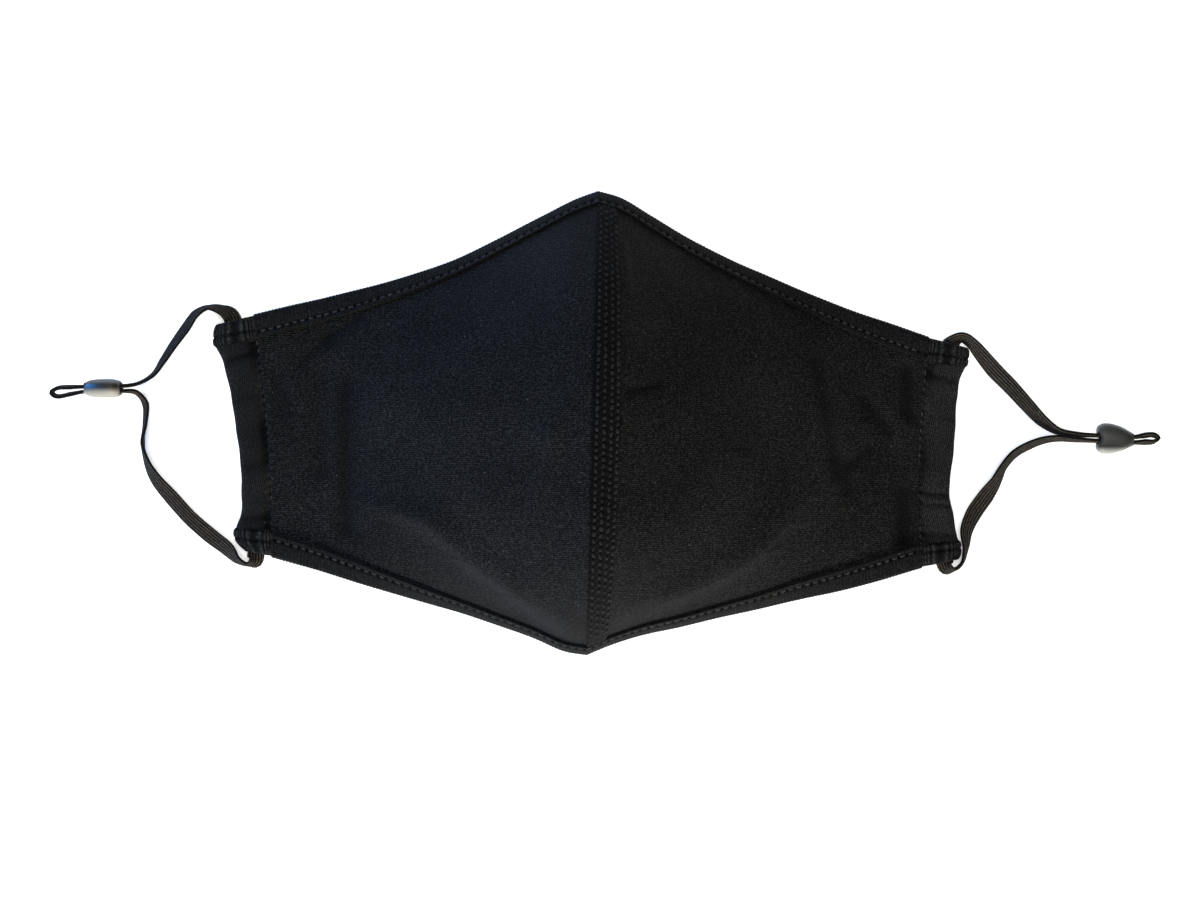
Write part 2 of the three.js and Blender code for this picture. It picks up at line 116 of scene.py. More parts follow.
# %% [markdown]
# ## The slab: one way to make every piece of cloth
#
# Cloth has two faces and an edge. Each piece starts as a flat grid one unit wide and one unit long,
# extruded one unit thick. The corners of this slab are then just three shares, u, v and w, and
# a function bends them into place. A tube is the same slab with its long sides taken away and the
# open edges welded to each other.
#
# The grid also gives every point its distance in metres along both directions of the finished
# cloth. These distances are kept as a UV map, so a woven pattern follows the cloth round its bends.
# Where a piece has grooves and stitch holes, place() also gives each point a share of painted shade.
# It is kept as a point attribute, and the finishes are painted darker there, for the shade in them.

# %% Slabs bent into shape
WELD = 1e-6


def object_from(bm, name):
    mesh = bpy.data.meshes.new(name)
    bm.to_mesh(mesh)
    bm.free()
    mesh.shade_smooth()
    piece = bpy.data.objects.new(name, mesh)
    bpy.context.scene.collection.objects.link(piece)
    return piece


def slab(name, columns, rows, place, ring=False, level=None):
    """A wall from place(u, v, w) in millimetres; v is zero in the UV map where y is level."""
    bm = bmesh.new()
    bmesh.ops.create_grid(bm, x_segments=columns, y_segments=rows, size=0.5)
    bmesh.ops.translate(bm, verts=bm.verts, vec=(0.5, 0.5, 0.0))
    made = bmesh.ops.extrude_face_region(bm, geom=bm.faces[:], use_keep_orig=True)
    raised = [part for part in made["geom"] if isinstance(part, bmesh.types.BMVert)]
    bmesh.ops.translate(bm, verts=raised, vec=(0.0, 0.0, 1.0))
    if ring:
        sides = [f for f in bm.faces if f.calc_center_median().y in (0.0, 1.0)]
        bmesh.ops.delete(bm, geom=sides, context="FACES")
    piece = object_from(bm, name)

    mesh = piece.data
    shares = np.empty(len(mesh.vertices) * 3)
    mesh.vertices.foreach_get("co", shares)
    u, v, w = shares.reshape(-1, 3).T
    i = np.rint(u * columns).astype(int)
    j = np.rint(v * rows).astype(int)
    k = np.rint(w).astype(int)
    points, painted_shade = place(i / columns, j / rows, k * 1.0)
    points = points * MM

    lattice = np.empty((rows + 1, columns + 1, 3))
    outer = k == 1
    lattice[j[outer], i[outer]] = points[outer]
    along = np.linalg.norm(np.diff(lattice, axis=1), axis=2).cumsum(axis=1)
    down = np.linalg.norm(np.diff(lattice, axis=0), axis=2).cumsum(axis=0)
    along = np.pad(along, ((0, 0), (1, 0)))
    down = np.pad(down, ((1, 0), (0, 0)))
    if level is not None:
        along -= along[:, -1:]
        heights = lattice[:, :, 1]
        for column in range(columns + 1):
            order = np.argsort(heights[:, column])
            down[:, column] -= np.interp(level * MM, heights[order, column], down[order, column])
    metres = np.stack([along[j, i], down[j, i]], axis=1)

    corner = np.empty(len(mesh.loops), np.int32)
    mesh.loops.foreach_get("vertex_index", corner)
    mesh.uv_layers.new(name="cloth").data.foreach_set("uv", metres[corner].ravel())
    mesh.vertices.foreach_set("co", points.ravel())
    # painted shade: how much darker each point is painted, for the shade in grooves, creases and holes
    mask = mesh.attributes.new("painted_shade", "FLOAT", "POINT")
    mask.data.foreach_set("value", np.clip(painted_shade + np.zeros(len(i)), 0.0, 1.0).astype(np.float32))

    bm = bmesh.new()
    bm.from_mesh(mesh)
    if ring:
        bmesh.ops.remove_doubles(bm, verts=bm.verts, dist=WELD)
    bmesh.ops.recalc_face_normals(bm, faces=bm.faces)
    bm.to_mesh(mesh)
    bm.free()
    mesh.update()
    return piece


def finish_piece(piece, slot, *nodes):
    """The piece rides on the mask's one body and stands for these CAD nodes."""
    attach(piece, "root")
    if nodes:
        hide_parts(*nodes)
    print(piece.name, len(piece.data.polygons), "faces")
    return piece


# %% [markdown]
# ## The ear loops
#
# Each ear loop is one flat elastic, 5.2 mm wide: it leaves the casing at the top, goes through the
# toggle, turns back in a small loop and enters the casing at the bottom. It leans on its edge where
# it bends sideways. The route is a table of points with the clear height under the elastic, its
# lean in degrees and its width, and a Catmull-Rom curve goes through all of them.
#
# The elastic is a slab that runs right round the route. Flat elastic has rubber threads lengthwise
# under its cover, so its section is thinner between the threads: six soft ribs on each face.

# %% Routes of the elastic
ELASTIC_THICKNESS = 1.2
ELASTIC_RIBS = 6
RIB_DEPTH = 0.34
RING_STEP = 0.75

# x, y, clear height, lean in degrees, width
LEFT_ROUTE = [
    (-105.0, 16.0, 1.3, 0, 5.2), (-107.4, 27.0, 1.3, 0, 5.2), (-108.5, 31.8, 1.3, 0, 5.2),
    (-111.2, 34.0, 0.6, 55, 5.2), (-115.2, 34.9, 0.2, 76, 5.2), (-119.2, 33.0, 0.2, 58, 5.2),
    (-122.2, 28.9, 0.2, 50, 5.2), (-126.2, 23.3, 0.2, 56, 5.2), (-129.2, 18.7, 0.2, 62, 5.2),
    (-131.9, 14.8, 0.3, 72, 5.0), (-135.8, 12.2, 1.2, 84, 4.4), (-140.4, 11.2, 2.9, 90, 3.4),
    (-146.4, 11.3, 2.9, 90, 3.4), (-152.2, 11.0, 2.9, 90, 3.4), (-156.4, 10.85, 2.8, 78, 3.5),
    (-160.4, 10.55, 2.7, 80, 3.6), (-162.1, 9.3, 2.7, 90, 3.6), (-160.6, 8.1, 2.7, 100, 3.6),
    (-156.4, 8.75, 2.8, 102, 3.5), (-152.2, 9.5, 2.9, 90, 3.4), (-146.4, 9.7, 2.9, 90, 3.4),
    (-140.4, 9.7, 2.9, 90, 3.4), (-136.9, 9.3, 1.6, 74, 4.2), (-134.4, 6.0, 0.3, 62, 5.0),
    (-134.4, 0.4, 0.2, 70, 5.2), (-135.2, -5.9, 0.2, 84, 5.2), (-133.9, -11.6, 0.2, 64, 5.2),
    (-131.4, -16.6, 0.2, 42, 5.2), (-126.8, -22.2, 0.2, 24, 5.2), (-121.0, -28.6, 0.2, 22, 5.2),
    (-115.2, -33.7, 0.2, 18, 5.2), (-109.7, -37.9, 0.2, 28, 5.2), (-106.4, -41.2, 0.2, 65, 5.2),
    (-103.6, -42.4, 0.2, 84, 5.2), (-101.8, -41.9, 0.5, 50, 5.2), (-101.3, -39.5, 1.3, 0, 5.2),
    (-100.9, -34.0, 1.3, 0, 5.2), (-101.2, -18.0, 1.3, 0, 5.2), (-102.9, 2.0, 1.3, 0, 5.2),
    (-104.9, 15.4, 1.3, 0, 5.2),
]

RIGHT_ROUTE = [
    (105.0, 10.0, 1.3, 0, 5.2), (106.6, 20.0, 1.3, 0, 5.2), (107.5, 23.2, 1.3, 0, 5.2),
    (109.2, 25.0, 0.7, 40, 5.2), (111.5, 25.8, 0.2, 62, 5.2), (114.3, 23.9, 0.2, 60, 5.2),
    (117.0, 20.7, 0.2, 44, 5.2), (121.1, 15.9, 0.2, 28, 5.2), (125.8, 11.1, 0.2, 34, 5.2),
    (131.0, 5.3, 0.2, 46, 5.2), (135.5, 0.6, 0.2, 58, 5.2), (140.0, -2.3, 0.2, 74, 5.0),
    (145.4, -3.3, 0.5, 78, 4.2), (150.9, -3.6, 1.05, 84, 3.4), (156.8, -3.85, 1.05, 90, 3.4),
    (162.7, -4.1, 1.05, 84, 3.4), (166.1, -3.6, 1, 70, 3.5), (168.8, -3.5, 0.9, 78, 3.6),
    (170.1, -4.5, 0.9, 90, 3.6), (168.8, -5.5, 0.9, 102, 3.6), (166.1, -5.6, 1, 110, 3.5),
    (162.7, -5.7, 1.05, 96, 3.4), (156.8, -5.45, 1.05, 90, 3.4), (150.9, -5.2, 1.05, 96, 3.4),
    (145.4, -4.9, 0.5, 102, 4.2), (140.3, -4.5, 0.2, 106, 5.0), (135.9, -5.0, 0.2, 112, 5.2),
    (131.4, -6.6, 0.2, 118, 5.2), (126.9, -9.2, 0.2, 120, 5.2), (123.5, -13.2, 0.2, 120, 5.2),
    (121.5, -17.2, 0.2, 135, 5.2), (118.5, -22.0, 0.2, 168, 5.2), (114.9, -27.2, 0.2, 168, 5.2),
    (112.6, -32.2, 0.2, 146, 5.2), (112.2, -37.6, 0.2, 114, 5.2), (111.1, -42.0, 0.2, 100, 5.2),
    (108.9, -43.9, 0.2, 96, 5.2), (107.1, -43.9, 0.5, 130, 5.2), (106.1, -41.9, 1.3, 180, 5.2),
    (105.5, -36.0, 1.3, 180, 5.2), (103.6, -18.0, 1.3, 180, 5.2), (104.9, 9.4, 1.3, 180, 5.2),
]


def catmull_rom(points, at):
    """The centripetal Catmull-Rom curve through the points; at counts points, from 0."""
    first = 2 * points[:1] - points[1:2]
    last = 2 * points[-1:] - points[-2:-1]
    padded = np.vstack([first, points, last])
    k = np.clip(np.floor(at).astype(int), 0, len(points) - 2)
    p = (at - k)[:, None]
    a, b, c, d = (padded[k + n] for n in range(4))
    before, middle, after = (
        np.linalg.norm(end - start, axis=1, keepdims=True) ** 0.5
        for start, end in ((a, b), (b, c), (c, d))
    )
    leave = ((b - a) / before - (c - a) / (before + middle)) * middle + (c - b)
    enter = ((d - c) / after - (d - b) / (middle + after)) * middle + (c - b)
    bend = -3 * b + 3 * c - 2 * leave - enter
    return b + leave * p + bend * p * p + (2 * b - 2 * c + leave + enter) * p**3


def elastic_route(rows, steps_per_point=12):
    """Places, sideways directions and widths along a route, evenly spaced."""
    table = np.array(rows, float)
    lean = np.radians(table[:, 3])
    half_height = (np.sin(lean) * table[:, 4] + np.abs(np.cos(lean)) * ELASTIC_THICKNESS) / 2
    knots = np.column_stack([table[:, 0], table[:, 1], table[:, 2] + half_height])
    at = np.linspace(0, len(rows) - 1, steps_per_point * (len(rows) - 1) + 1)
    centres = catmull_rom(knots, at)
    length = np.concatenate([[0], np.linalg.norm(np.diff(centres, axis=0), axis=1).cumsum()])
    even = np.linspace(0, length[-1], int(length[-1] / RING_STEP))
    at = np.interp(even, length, at)
    centres = catmull_rom(knots, at)
    tangents = unit(np.gradient(centres, axis=0))
    side = unit(np.cross([0.0, 0.0, 1.0], tangents))
    rise = np.cross(tangents, side)
    lean = np.interp(at, np.arange(len(rows)), lean)[:, None]
    width = np.interp(at, np.arange(len(rows)), table[:, 4])
    across = side * np.cos(lean) + rise * np.sin(lean)
    return {"centres": centres, "across": across, "out": np.cross(across, tangents),
            "width": width, "length": length[-1]}


routes = {"left": elastic_route(LEFT_ROUTE), "right": elastic_route(RIGHT_ROUTE)}
for side, route in routes.items():
    print(side, "elastic", round(route["length"], 1), "mm long,", len(route["centres"]), "rings")


# %% Elastic strips
def elastic(name, route):
    rings = len(route["centres"]) - 1
    around = 64

    def place(u, v, w):
        k = np.rint(u * rings).astype(int)
        share = np.where(v < 0.5, 4 * v - 1, 3 - 4 * v)
        face = np.where(v < 0.5, 1.0, -1.0)
        edge = np.sqrt(np.clip(1 - np.abs(share) ** 5, 0, 1))
        groove = 1 - np.abs(np.sin(math.pi * ELASTIC_RIBS / 2 * (share + 1)))
        rib = 1 - RIB_DEPTH * groove**2
        skin = mix(0.3, 1.0, w)
        wide = share * mix(0.8, 1.0, w) * route["width"][k] / 2
        thick = face * edge * rib * skin * ELASTIC_THICKNESS / 2
        points = route["centres"][k] + route["across"][k] * wide[:, None] + route["out"][k] * thick[:, None]
        # the second value is painted shade, darkest in the grooves between the ribs
        return points, w * np.clip(1.7 * groove**0.8, 0, 0.98)

    return slab(name, rings, around, place, ring=True)


elastics = {side: elastic("elastic_" + side, route) for side, route in routes.items()}
for side, piece in elastics.items():
    finish_piece(piece, "flat_elastic", "ear_loop_" + side)

# %% [markdown]
# ## The shell of the mask
#
# Each cheek runs from its casing stitch line, flat on the table, up to the centre seam, which stands
# 41.5 mm high. It is described by cross sections from nose to chin: where the section starts and
# ends, how high its rim and its crest are, and how full it is above and below the crest. The panels,
# the bindings, the seam tape and all of the stitches are placed on this one surface, so they always
# fit each other.
#
# Worn cloth also has soft dents and creases. Each is a straight stretch with a height, the distance
# over which it fades, and a sharpness: 2 is a round dent, and 1 has a crisp line in its middle.

# %% Sections of the cheeks
EDGE_INSET = 1.6
RIDGE_TOP_X, RIDGE_BOTTOM_X = 1.7, -1.7
SIDE_CREST_Y, RIDGE_CREST_Y = -4.0, -10.0

# share of the way to the seam; top and bottom y; rim and crest height; fullness above and below
LEFT_SECTIONS = [
    (0.00, 33.2, -40.7, 3.1, 3.3, 2.2, 2.4), (0.12, 36.2, -43.9, 3.2, 4.6, 2.2, 2.5),
    (0.24, 39.1, -47.5, 3.3, 8.0, 2.3, 2.6), (0.36, 42.2, -50.9, 3.4, 13.4, 2.3, 2.8),
    (0.48, 45.8, -54.1, 3.6, 19.4, 2.4, 3.0), (0.60, 50.3, -57.4, 3.9, 25.4, 2.5, 3.2),
    (0.72, 56.3, -61.1, 4.3, 31.0, 2.5, 3.4), (0.84, 62.6, -65.1, 4.9, 36.0, 2.6, 3.5),
    (0.93, 67.3, -68.7, 5.5, 39.4, 2.7, 3.6), (1.00, 69.9, -69.8, 6.0, 41.5, 2.7, 3.7),
]
RIGHT_SECTIONS = [
    (0.00, 26.4, -43.9, 3.1, 3.3, 2.2, 2.4), (0.12, 30.6, -47.6, 3.2, 4.9, 2.2, 2.5),
    (0.24, 34.7, -50.8, 3.3, 8.6, 2.3, 2.7), (0.36, 39.4, -53.3, 3.4, 13.6, 2.3, 2.9),
    (0.48, 44.4, -56.1, 3.6, 19.2, 2.4, 3.1), (0.60, 49.6, -58.7, 3.9, 24.8, 2.5, 3.3),
    (0.72, 55.6, -61.5, 4.3, 30.2, 2.5, 3.4), (0.84, 62.6, -64.1, 4.9, 35.4, 2.6, 3.5),
    (0.93, 67.9, -66.9, 5.5, 39.1, 2.7, 3.6), (1.00, 69.9, -69.8, 6.0, 41.5, 2.7, 3.7),
]
# x and y of both ends, height, fade, sharpness
FOLDS = [
    (-71, -25, -48, -30, 1.0, 5, 2), (-48, -30, -24, -50, 1.2, 5, 2),
    (-24, -50, -9, -61, 1.0, 5, 2), (-81, 14, -81, -13, -0.9, 5, 2),
    (-70, 11, -70, -30, -1.0, 5, 2), (16, -56, 41, -43, 1.0, 5, 2),
    (41, -43, 59, -27, 1.0, 5, 2), (19, 38, 22, 16, -1.2, 6, 2),
    (39, 30, 54, -12, -1.6, 7, 2), (64, 22, 74, -14, 1.2, 4.5, 2),
    (83, 6, 90, -9, -0.8, 4.5, 2),
]
CREASES = [
    # left cheek: the edge of the flat side, two upright creases, the slope beside the seam
    (-70, 31, -79, 26, -0.75, 2.2, 1.3), (-79, 26, -87.5, 18, -0.83, 2.2, 1.3),
    (-81.5, 15, -81, -14, -0.45, 2.6, 1.8), (-73.5, 12, -73.5, -31, -0.98, 2.8, 1.8),
    (-3, 10, -12, -4, 0.6, 3.5, 2), (-12, -4, -16, -44, 0.72, 4.0, 2),
    (-95, 14, -93, 4, -0.52, 3.0, 2),
    # right cheek: the pulled cloth by the seam, the long fold, small folds by the casing
    (8.8, 53, 11, 37, 0.6, 1.2, 1.6), (10, 35, 10.5, 14, 0.48, 2.0, 2),
    (10.5, 8.6, 19, 10.0, -1.05, 1.2, 1.3), (66.5, 18, 72.8, -15, -0.83, 2.6, 1.6),
    (74.5, 10, 76, -8, 0.48, 2.5, 2), (81.5, 7, 88.5, -1, -0.75, 2.2, 2),
    (77, -12, 83, -7.5, -0.6, 2.2, 2), (94.5, 16, 95, 3, -1.05, 2.4, 2),
    (93.5, -20, 93.5, -36, -1.2, 2.6, 2), (73, -11, 76, -19, -0.9, 2.8, 2),
]
# The jaw line: x, y and height of points along a ridge that is soft above and steep below.
JAW_LINES = [
    [(-66, -24, 0.6), (-60, -25.3, 1.0), (-47.5, -30, 1.7), (-36, -40.4, 2.1), (-21, -51, 2.4),
     (-12, -59.5, 2.2), (-4, -65.5, 1.5)],
    [(64, -20, 0.4), (62, -22.7, 0.8), (56, -30.6, 1.3), (49, -38.6, 1.7), (37.3, -45.7, 2.0),
     (25.8, -51, 2.4), (12.5, -57.6, 2.3), (3, -64, 1.5)],
]
JAW_ABOVE, JAW_BELOW = 6.0, 2.4


def from_line(x, y, x0, y0, x1, y1):
    """How far along a straight stretch each point is, and how far off it in x and in y."""
    dx, dy = x1 - x0, y1 - y0
    share = np.clip(((x - x0) * dx + (y - y0) * dy) / (dx * dx + dy * dy), 0, 1)
    return share, x - x0 - share * dx, y - y0 - share * dy


def fold_height(x, y, folds):
    height = np.zeros_like(x)
    for *ends, size, fade, sharp in folds:
        off_x, off_y = from_line(x, y, *ends)[1:]
        height += size * np.exp(-((np.hypot(off_x, off_y) / fade) ** sharp))
    return height


def jaw_height(x, y):
    height = np.zeros_like(x)
    for line in JAW_LINES:
        for (x0, y0, h0), (x1, y1, h1) in zip(line, line[1:]):
            share, off_x, off_y = from_line(x, y, x0, y0, x1, y1)
            fade = np.where(off_y > 0, JAW_ABOVE, JAW_BELOW)
            height = np.maximum(height, mix(h0, h1, share) * bump(np.hypot(off_x, off_y), fade))
    return height


def crease_shade(x, y):
    """Darker in the narrow creases, where little light gets in."""
    return np.clip(-0.6 * fold_height(x, y, CREASES), 0, 0.6)


def ripple(x, y):
    """Slow, uneven waves of cloth that isn't pulled tight, less than half a millimetre high."""
    waves = [(0.11, 0.07, 0.3), (-0.09, 0.16, 1.9), (0.21, -0.12, 4.1), (0.05, 0.27, 2.6)]
    return sum(0.09 * np.sin(a * x + b * y + c) for a, b, c in waves)


LEFT = {"section": smooth_table(LEFT_SECTIONS), "top": -101.8, "bottom": -96.4, "bow": 1.6}
RIGHT = {"section": smooth_table(RIGHT_SECTIONS), "top": 101.2, "bottom": 99.0, "bow": -1.7}
CHEEKS = {"left": LEFT, "right": RIGHT}


def shell_point(cheek, u, t, creased=0.0):
    """A point on the shell: u from casing to seam, t from the nose edge to the chin edge."""
    u, t = np.broadcast_arrays(np.asarray(u, float), np.asarray(t, float))
    top, bottom, rim, crest, full_top, full_bottom = np.moveaxis(cheek["section"](u), -1, 0)
    x = mix(mix(cheek["top"], RIDGE_TOP_X, u), mix(cheek["bottom"], RIDGE_BOTTOM_X, u), t)
    x = x + cheek["bow"] * 4 * t * (1 - t) * (1 - u) ** 2
    top, bottom = top - EDGE_INSET, bottom + EDGE_INSET
    y = mix(top, bottom, t)
    crest_y = mix(SIDE_CREST_Y, RIDGE_CREST_Y, u)
    reach = np.where(y > crest_y, top - crest_y, crest_y - bottom)
    power = np.where(y > crest_y, full_top, full_bottom)
    drop = np.clip(np.abs(y - crest_y) / reach, 0, 1) ** power
    fade = np.sin(math.pi * np.clip(t, 0, 1))
    z = rim + (crest - rim) * (1 - drop) + fade * fold_height(x, y, FOLDS)
    if creased:
        calm = np.clip(12 * t, 0, 1) * np.clip(12 * (1 - t), 0, 1)
        z = z + creased * calm * (fold_height(x, y, CREASES) + jaw_height(x, y) + ripple(x, y))
    return np.stack([x, y, z], axis=-1)


def shell_down(cheek, u, t):
    step = 0.004
    run = shell_point(cheek, u, np.minimum(t + step, 1)) - shell_point(cheek, u, np.maximum(t - step, 0))
    run[..., 0] = 0
    return unit(run)


def lifted(cheek, u, t, lift, creased=0.0):
    """Off the shell along its normal, in the plane of the section."""
    down = shell_down(cheek, u, t)
    out = np.stack([np.zeros_like(down[..., 0]), down[..., 2], -down[..., 1]], axis=-1)
    return shell_point(cheek, u, t, creased) + out * np.asarray(lift)[..., None]


def reach_in(cheek, u, end, distance):
    """How much of t lies within a distance of the nose edge (0) or the chin edge (1)."""
    row = cheek["section"](u)
    span = row[..., 0] - row[..., 1] - 2 * EDGE_INSET
    return distance * np.abs(shell_down(cheek, u, np.full_like(u, end))[..., 1]) / span


print("ridge height", shell_point(LEFT, 1.0, 0.57).round(1))

# %% [markdown]
# ## The cheek panels
#
# Each panel is two layers of jersey, 1.6 mm thick together. A grid of about a millimetre is fine
# enough for the creases to be real shape, so that the light finds them from any side. The rows of
# the knit are far finer, so those are left to the material, which follows the UV map.

# %% Cheek panels
GAP = 0.3
PANEL_WALL = 1.6
PANEL_COLUMNS, PANEL_ROWS = 180, 185


def cheek_panel(name, cheek):
    def place(u, v, w):
        crowd = mix(v, (1 - np.cos(math.pi * v)) / 2, 0.5)
        points = lifted(cheek, u, crowd, (w - 1) * PANEL_WALL, creased=1.0)
        return points, w * crease_shade(points[:, 0], points[:, 1])

    return slab(name, PANEL_COLUMNS, PANEL_ROWS, place, level=RIDGE_CREST_Y)


panels = {side: cheek_panel("jersey_" + side, cheek) for side, cheek in CHEEKS.items()}
for side, piece in panels.items():
    finish_piece(piece, "black_jersey", "panel_" + side)

# %% [markdown]
# ## The edge bindings
#
# A ribbed tape is folded round the cut edges, and a row of stitches 4.3 mm in from the edge holds
# it. The tape's section goes in over the panel, round the edge in half a circle and back in
# underneath. Its ribs run across it, 1.05 mm apart. Along the stitches the tape is pulled down into
# a groove, with a small hole where each stitch goes through.
#
# The ribs have to be evenly spaced along a curved edge, so the length of the edge is measured
# first, and every column of the slab is put at an even distance along it.

# %% Lengths along an edge
TAPE_WALL = 1.0
BINDING_WIDTH = 6.0
RIB_PITCH = 1.05
COLUMNS_PER_RIB = 5
STITCH_INSET = 4.3
STITCH_PITCH = 2.5
BINDING_ROWS = 28
BINDING_CROWDING = 0.35  # how far the rows are moved to the top face, where they show
FLAT_SHARE = 0.37  # how much of the tape's section lies flat, on each face


def cheek_at(share):
    """Cheek and place on it for a share of the way along a whole edge, as two halves."""
    return share < 0.5, np.where(share < 0.5, 2 * share, 2 - 2 * share)


def edge_table(end):
    share = np.linspace(0, 1, 801)
    on_left, at = cheek_at(share)
    t = np.full_like(at, end)
    points = np.where(on_left[:, None], shell_point(LEFT, at, t), shell_point(RIGHT, at, t))
    gaps = np.linalg.norm(np.diff(points, axis=0), axis=1)
    return share, np.concatenate([[0], gaps.cumsum()])


edges = {0: edge_table(0), 1: edge_table(1)}
print("edge lengths", [round(table[1][-1], 1) for table in edges.values()])


# %% Bindings
def hem_point(end, along, inward, past, lift):
    """A point of the hem: past the edge, or inward from it, and lifted off the shell."""
    share = np.interp(along, edges[end][1], edges[end][0])
    on_left, at = cheek_at(share)
    inwards = 1 if end == 0 else -1
    found = []
    for cheek in (LEFT, RIGHT):
        t = end + inwards * reach_in(cheek, at, end, inward)
        down = shell_down(cheek, at, np.full_like(at, end))
        found.append(lifted(cheek, at, t, lift) - down * (inwards * past)[:, None])
    return np.where(on_left[:, None], found[0], found[1])


def near_stitch(along, offset, pitch, width):
    """One where a stitch goes through the cloth, and nothing between the holes."""
    away = (along / pitch + offset + 0.5) % 1 - 0.5
    return bump(away * pitch, width)


def tape_relief(along, inward):
    rib = 0.17 * (np.abs(np.sin(math.pi * along / RIB_PITCH)) - 1)
    row = bump(inward - STITCH_INSET, 0.55)
    hole = bump(inward - STITCH_INSET, 0.42) * near_stitch(along, 0.5, STITCH_PITCH, 0.42)
    swell = 0.12 * bump(inward - 2.2, 1.8) + 0.05 * np.sin(along / 4.3) * np.sin(along / 11.7)
    return rib * (1 - 0.6 * row) - 0.3 * row - 0.5 * hole + swell


# Painted shade on the tape: in the rib valleys, along the stitch row, in the stitch holes and at its inner
# edge.
def tape_painted_shade(along, inward):
    valley = 1 - np.abs(np.sin(math.pi * along / RIB_PITCH))
    row = bump(inward - STITCH_INSET, 0.5)
    hole = row * near_stitch(along, 0.5, STITCH_PITCH, 0.6)
    return 0.5 * valley**1.5 * (1 - row) + 0.35 * row + 0.9 * hole + 0.6 * bump(inward - BINDING_WIDTH, 0.25)


def binding(name, end):
    total = edges[end][1][-1]

    def place(u, v, w):
        along = u * total
        v = mix(v, v * v, BINDING_CROWDING)
        arc = np.clip((v - FLAT_SHARE) / (1 - 2 * FLAT_SHARE), 0, 1) * math.pi
        inward = BINDING_WIDTH * np.clip(np.maximum(1 - v / FLAT_SHARE, 1 - (1 - v) / FLAT_SHARE), 0, 1)
        away = GAP + w * TAPE_WALL + w * tape_relief(along, inward)
        half = PANEL_WALL / 2 + away
        lift = half * np.cos(arc) - PANEL_WALL / 2
        return hem_point(end, along, inward, away * np.sin(arc), lift), w * tape_painted_shade(along, inward)

    return slab(name, COLUMNS_PER_RIB * round(total / RIB_PITCH), BINDING_ROWS, place)


bindings = {"top": binding("binding_tape_top", 0), "bottom": binding("binding_tape_bottom", 1)}
for side, piece in bindings.items():
    finish_piece(piece, "ribbed_binding", "binding_" + side)

# %% [markdown]
# ## The seam tape
#
# A tape covers the centre seam on its right side, 5.6 to 7.6 mm wide. Four rows of thick chain
# stitches run along it, about two millimetres apart, and pull it into lengthwise channels. The tape
# follows the creases of the panel under it, so that no light shows between the two.

# %% Seam tape
BAND_WIDTHS = [(0.0, 5.6), (0.25, 7.0), (0.5, 7.6), (0.75, 7.2), (1.0, 5.8)]
BAND_END = BINDING_WIDTH + 2 * GAP
CHAIN_SHARES = (0.17, 0.44, 0.71, 0.94)
CHAIN_PITCH = 2.3
TAPE_GAP = 0.05
BAND_COLUMNS, BAND_ROWS = 32, 480

band_width = smooth_table(BAND_WIDTHS)
band_first = reach_in(RIGHT, np.array(1.0), 0, BAND_END)
band_last = 1 - reach_in(RIGHT, np.array(1.0), 1, BAND_END)


def band_point(across, v, lift):
    """A point on the seam tape: a share of its width from the ridge, v from nose to chin."""
    reach = GAP / 2 + across * band_width(v)[..., 0]
    at = 1 - reach / (RIGHT["top"] - RIDGE_TOP_X)
    return lifted(RIGHT, at, mix(band_first, band_last, v), lift, creased=1.0)


ridge_line = band_point(np.zeros(300), np.linspace(0, 1, 300), 0.0)
BAND_LENGTH = np.linalg.norm(np.diff(ridge_line, axis=0), axis=1).sum()


def place_band(u, v, w):
    channel = sum(bump(u - share, 0.075) for share in CHAIN_SHARES)
    along = v * BAND_LENGTH
    pucker = 0.1 * np.sin(2 * math.pi * along / CHAIN_PITCH) * (1 - channel)
    round_edge = -0.35 * bump(u, 0.05) - 0.45 * bump(u - 1, 0.05)
    top = GAP + TAPE_WALL + pucker - 0.32 * channel + round_edge
    points = band_point(u, v, mix(TAPE_GAP, top, w))
    # painted shade: the whole tape is darkened between its stitches, and most at its two edges
    return points, w * (0.45 + 0.6 * bump(u, 0.08) + 0.5 * bump(u - 1, 0.05))


band = slab("seam_tape", BAND_COLUMNS, BAND_ROWS, place_band)
finish_piece(band, "seam_tape", "centre_seam_band")

# %% [markdown]
# ## The casings
#
# At each side the panel is folded over into a casing for the elastic, a flat tube with two open
# mouths. It is a ring slab whose section is a rounded, flattened oval. The cloth is gathered on the
# elastic, so shallow folds run across it, and small puffs of cloth stand up between the stitches
# along its inner edge.

# %% Casings
CASING_HEIGHT = 3.8
CASING_WALL = 1.0
CASING_COLUMNS, CASING_ROWS = 180, 64
LAP = 0.5  # how far the casing's edge lies over the panel's side
# share of the length, x, y of the outer edge
CASING_EDGES = {
    "left": [
        (0.00, -113.3, 29.0), (0.08, -113.5, 23.8), (0.14, -111.6, 19.8), (0.25, -109.7, 12.6),
        (0.40, -107.8, 2.4), (0.55, -106.4, -7.9), (0.70, -105.6, -18.3), (0.84, -105.8, -27.4),
        (0.90, -107.2, -31.4), (0.96, -107.0, -35.0), (1.00, -104.8, -37.8),
    ],
    "right": [
        (0.00, 113.0, 22.0), (0.09, 112.3, 17.4), (0.15, 110.7, 13.6), (0.25, 109.8, 7.6),
        (0.40, 109.2, -2.2), (0.55, 108.3, -12.2), (0.68, 107.5, -20.4), (0.80, 108.6, -27.8),
        (0.88, 109.6, -33.0), (0.94, 110.5, -37.0), (1.00, 110.3, -40.2),
    ],
}
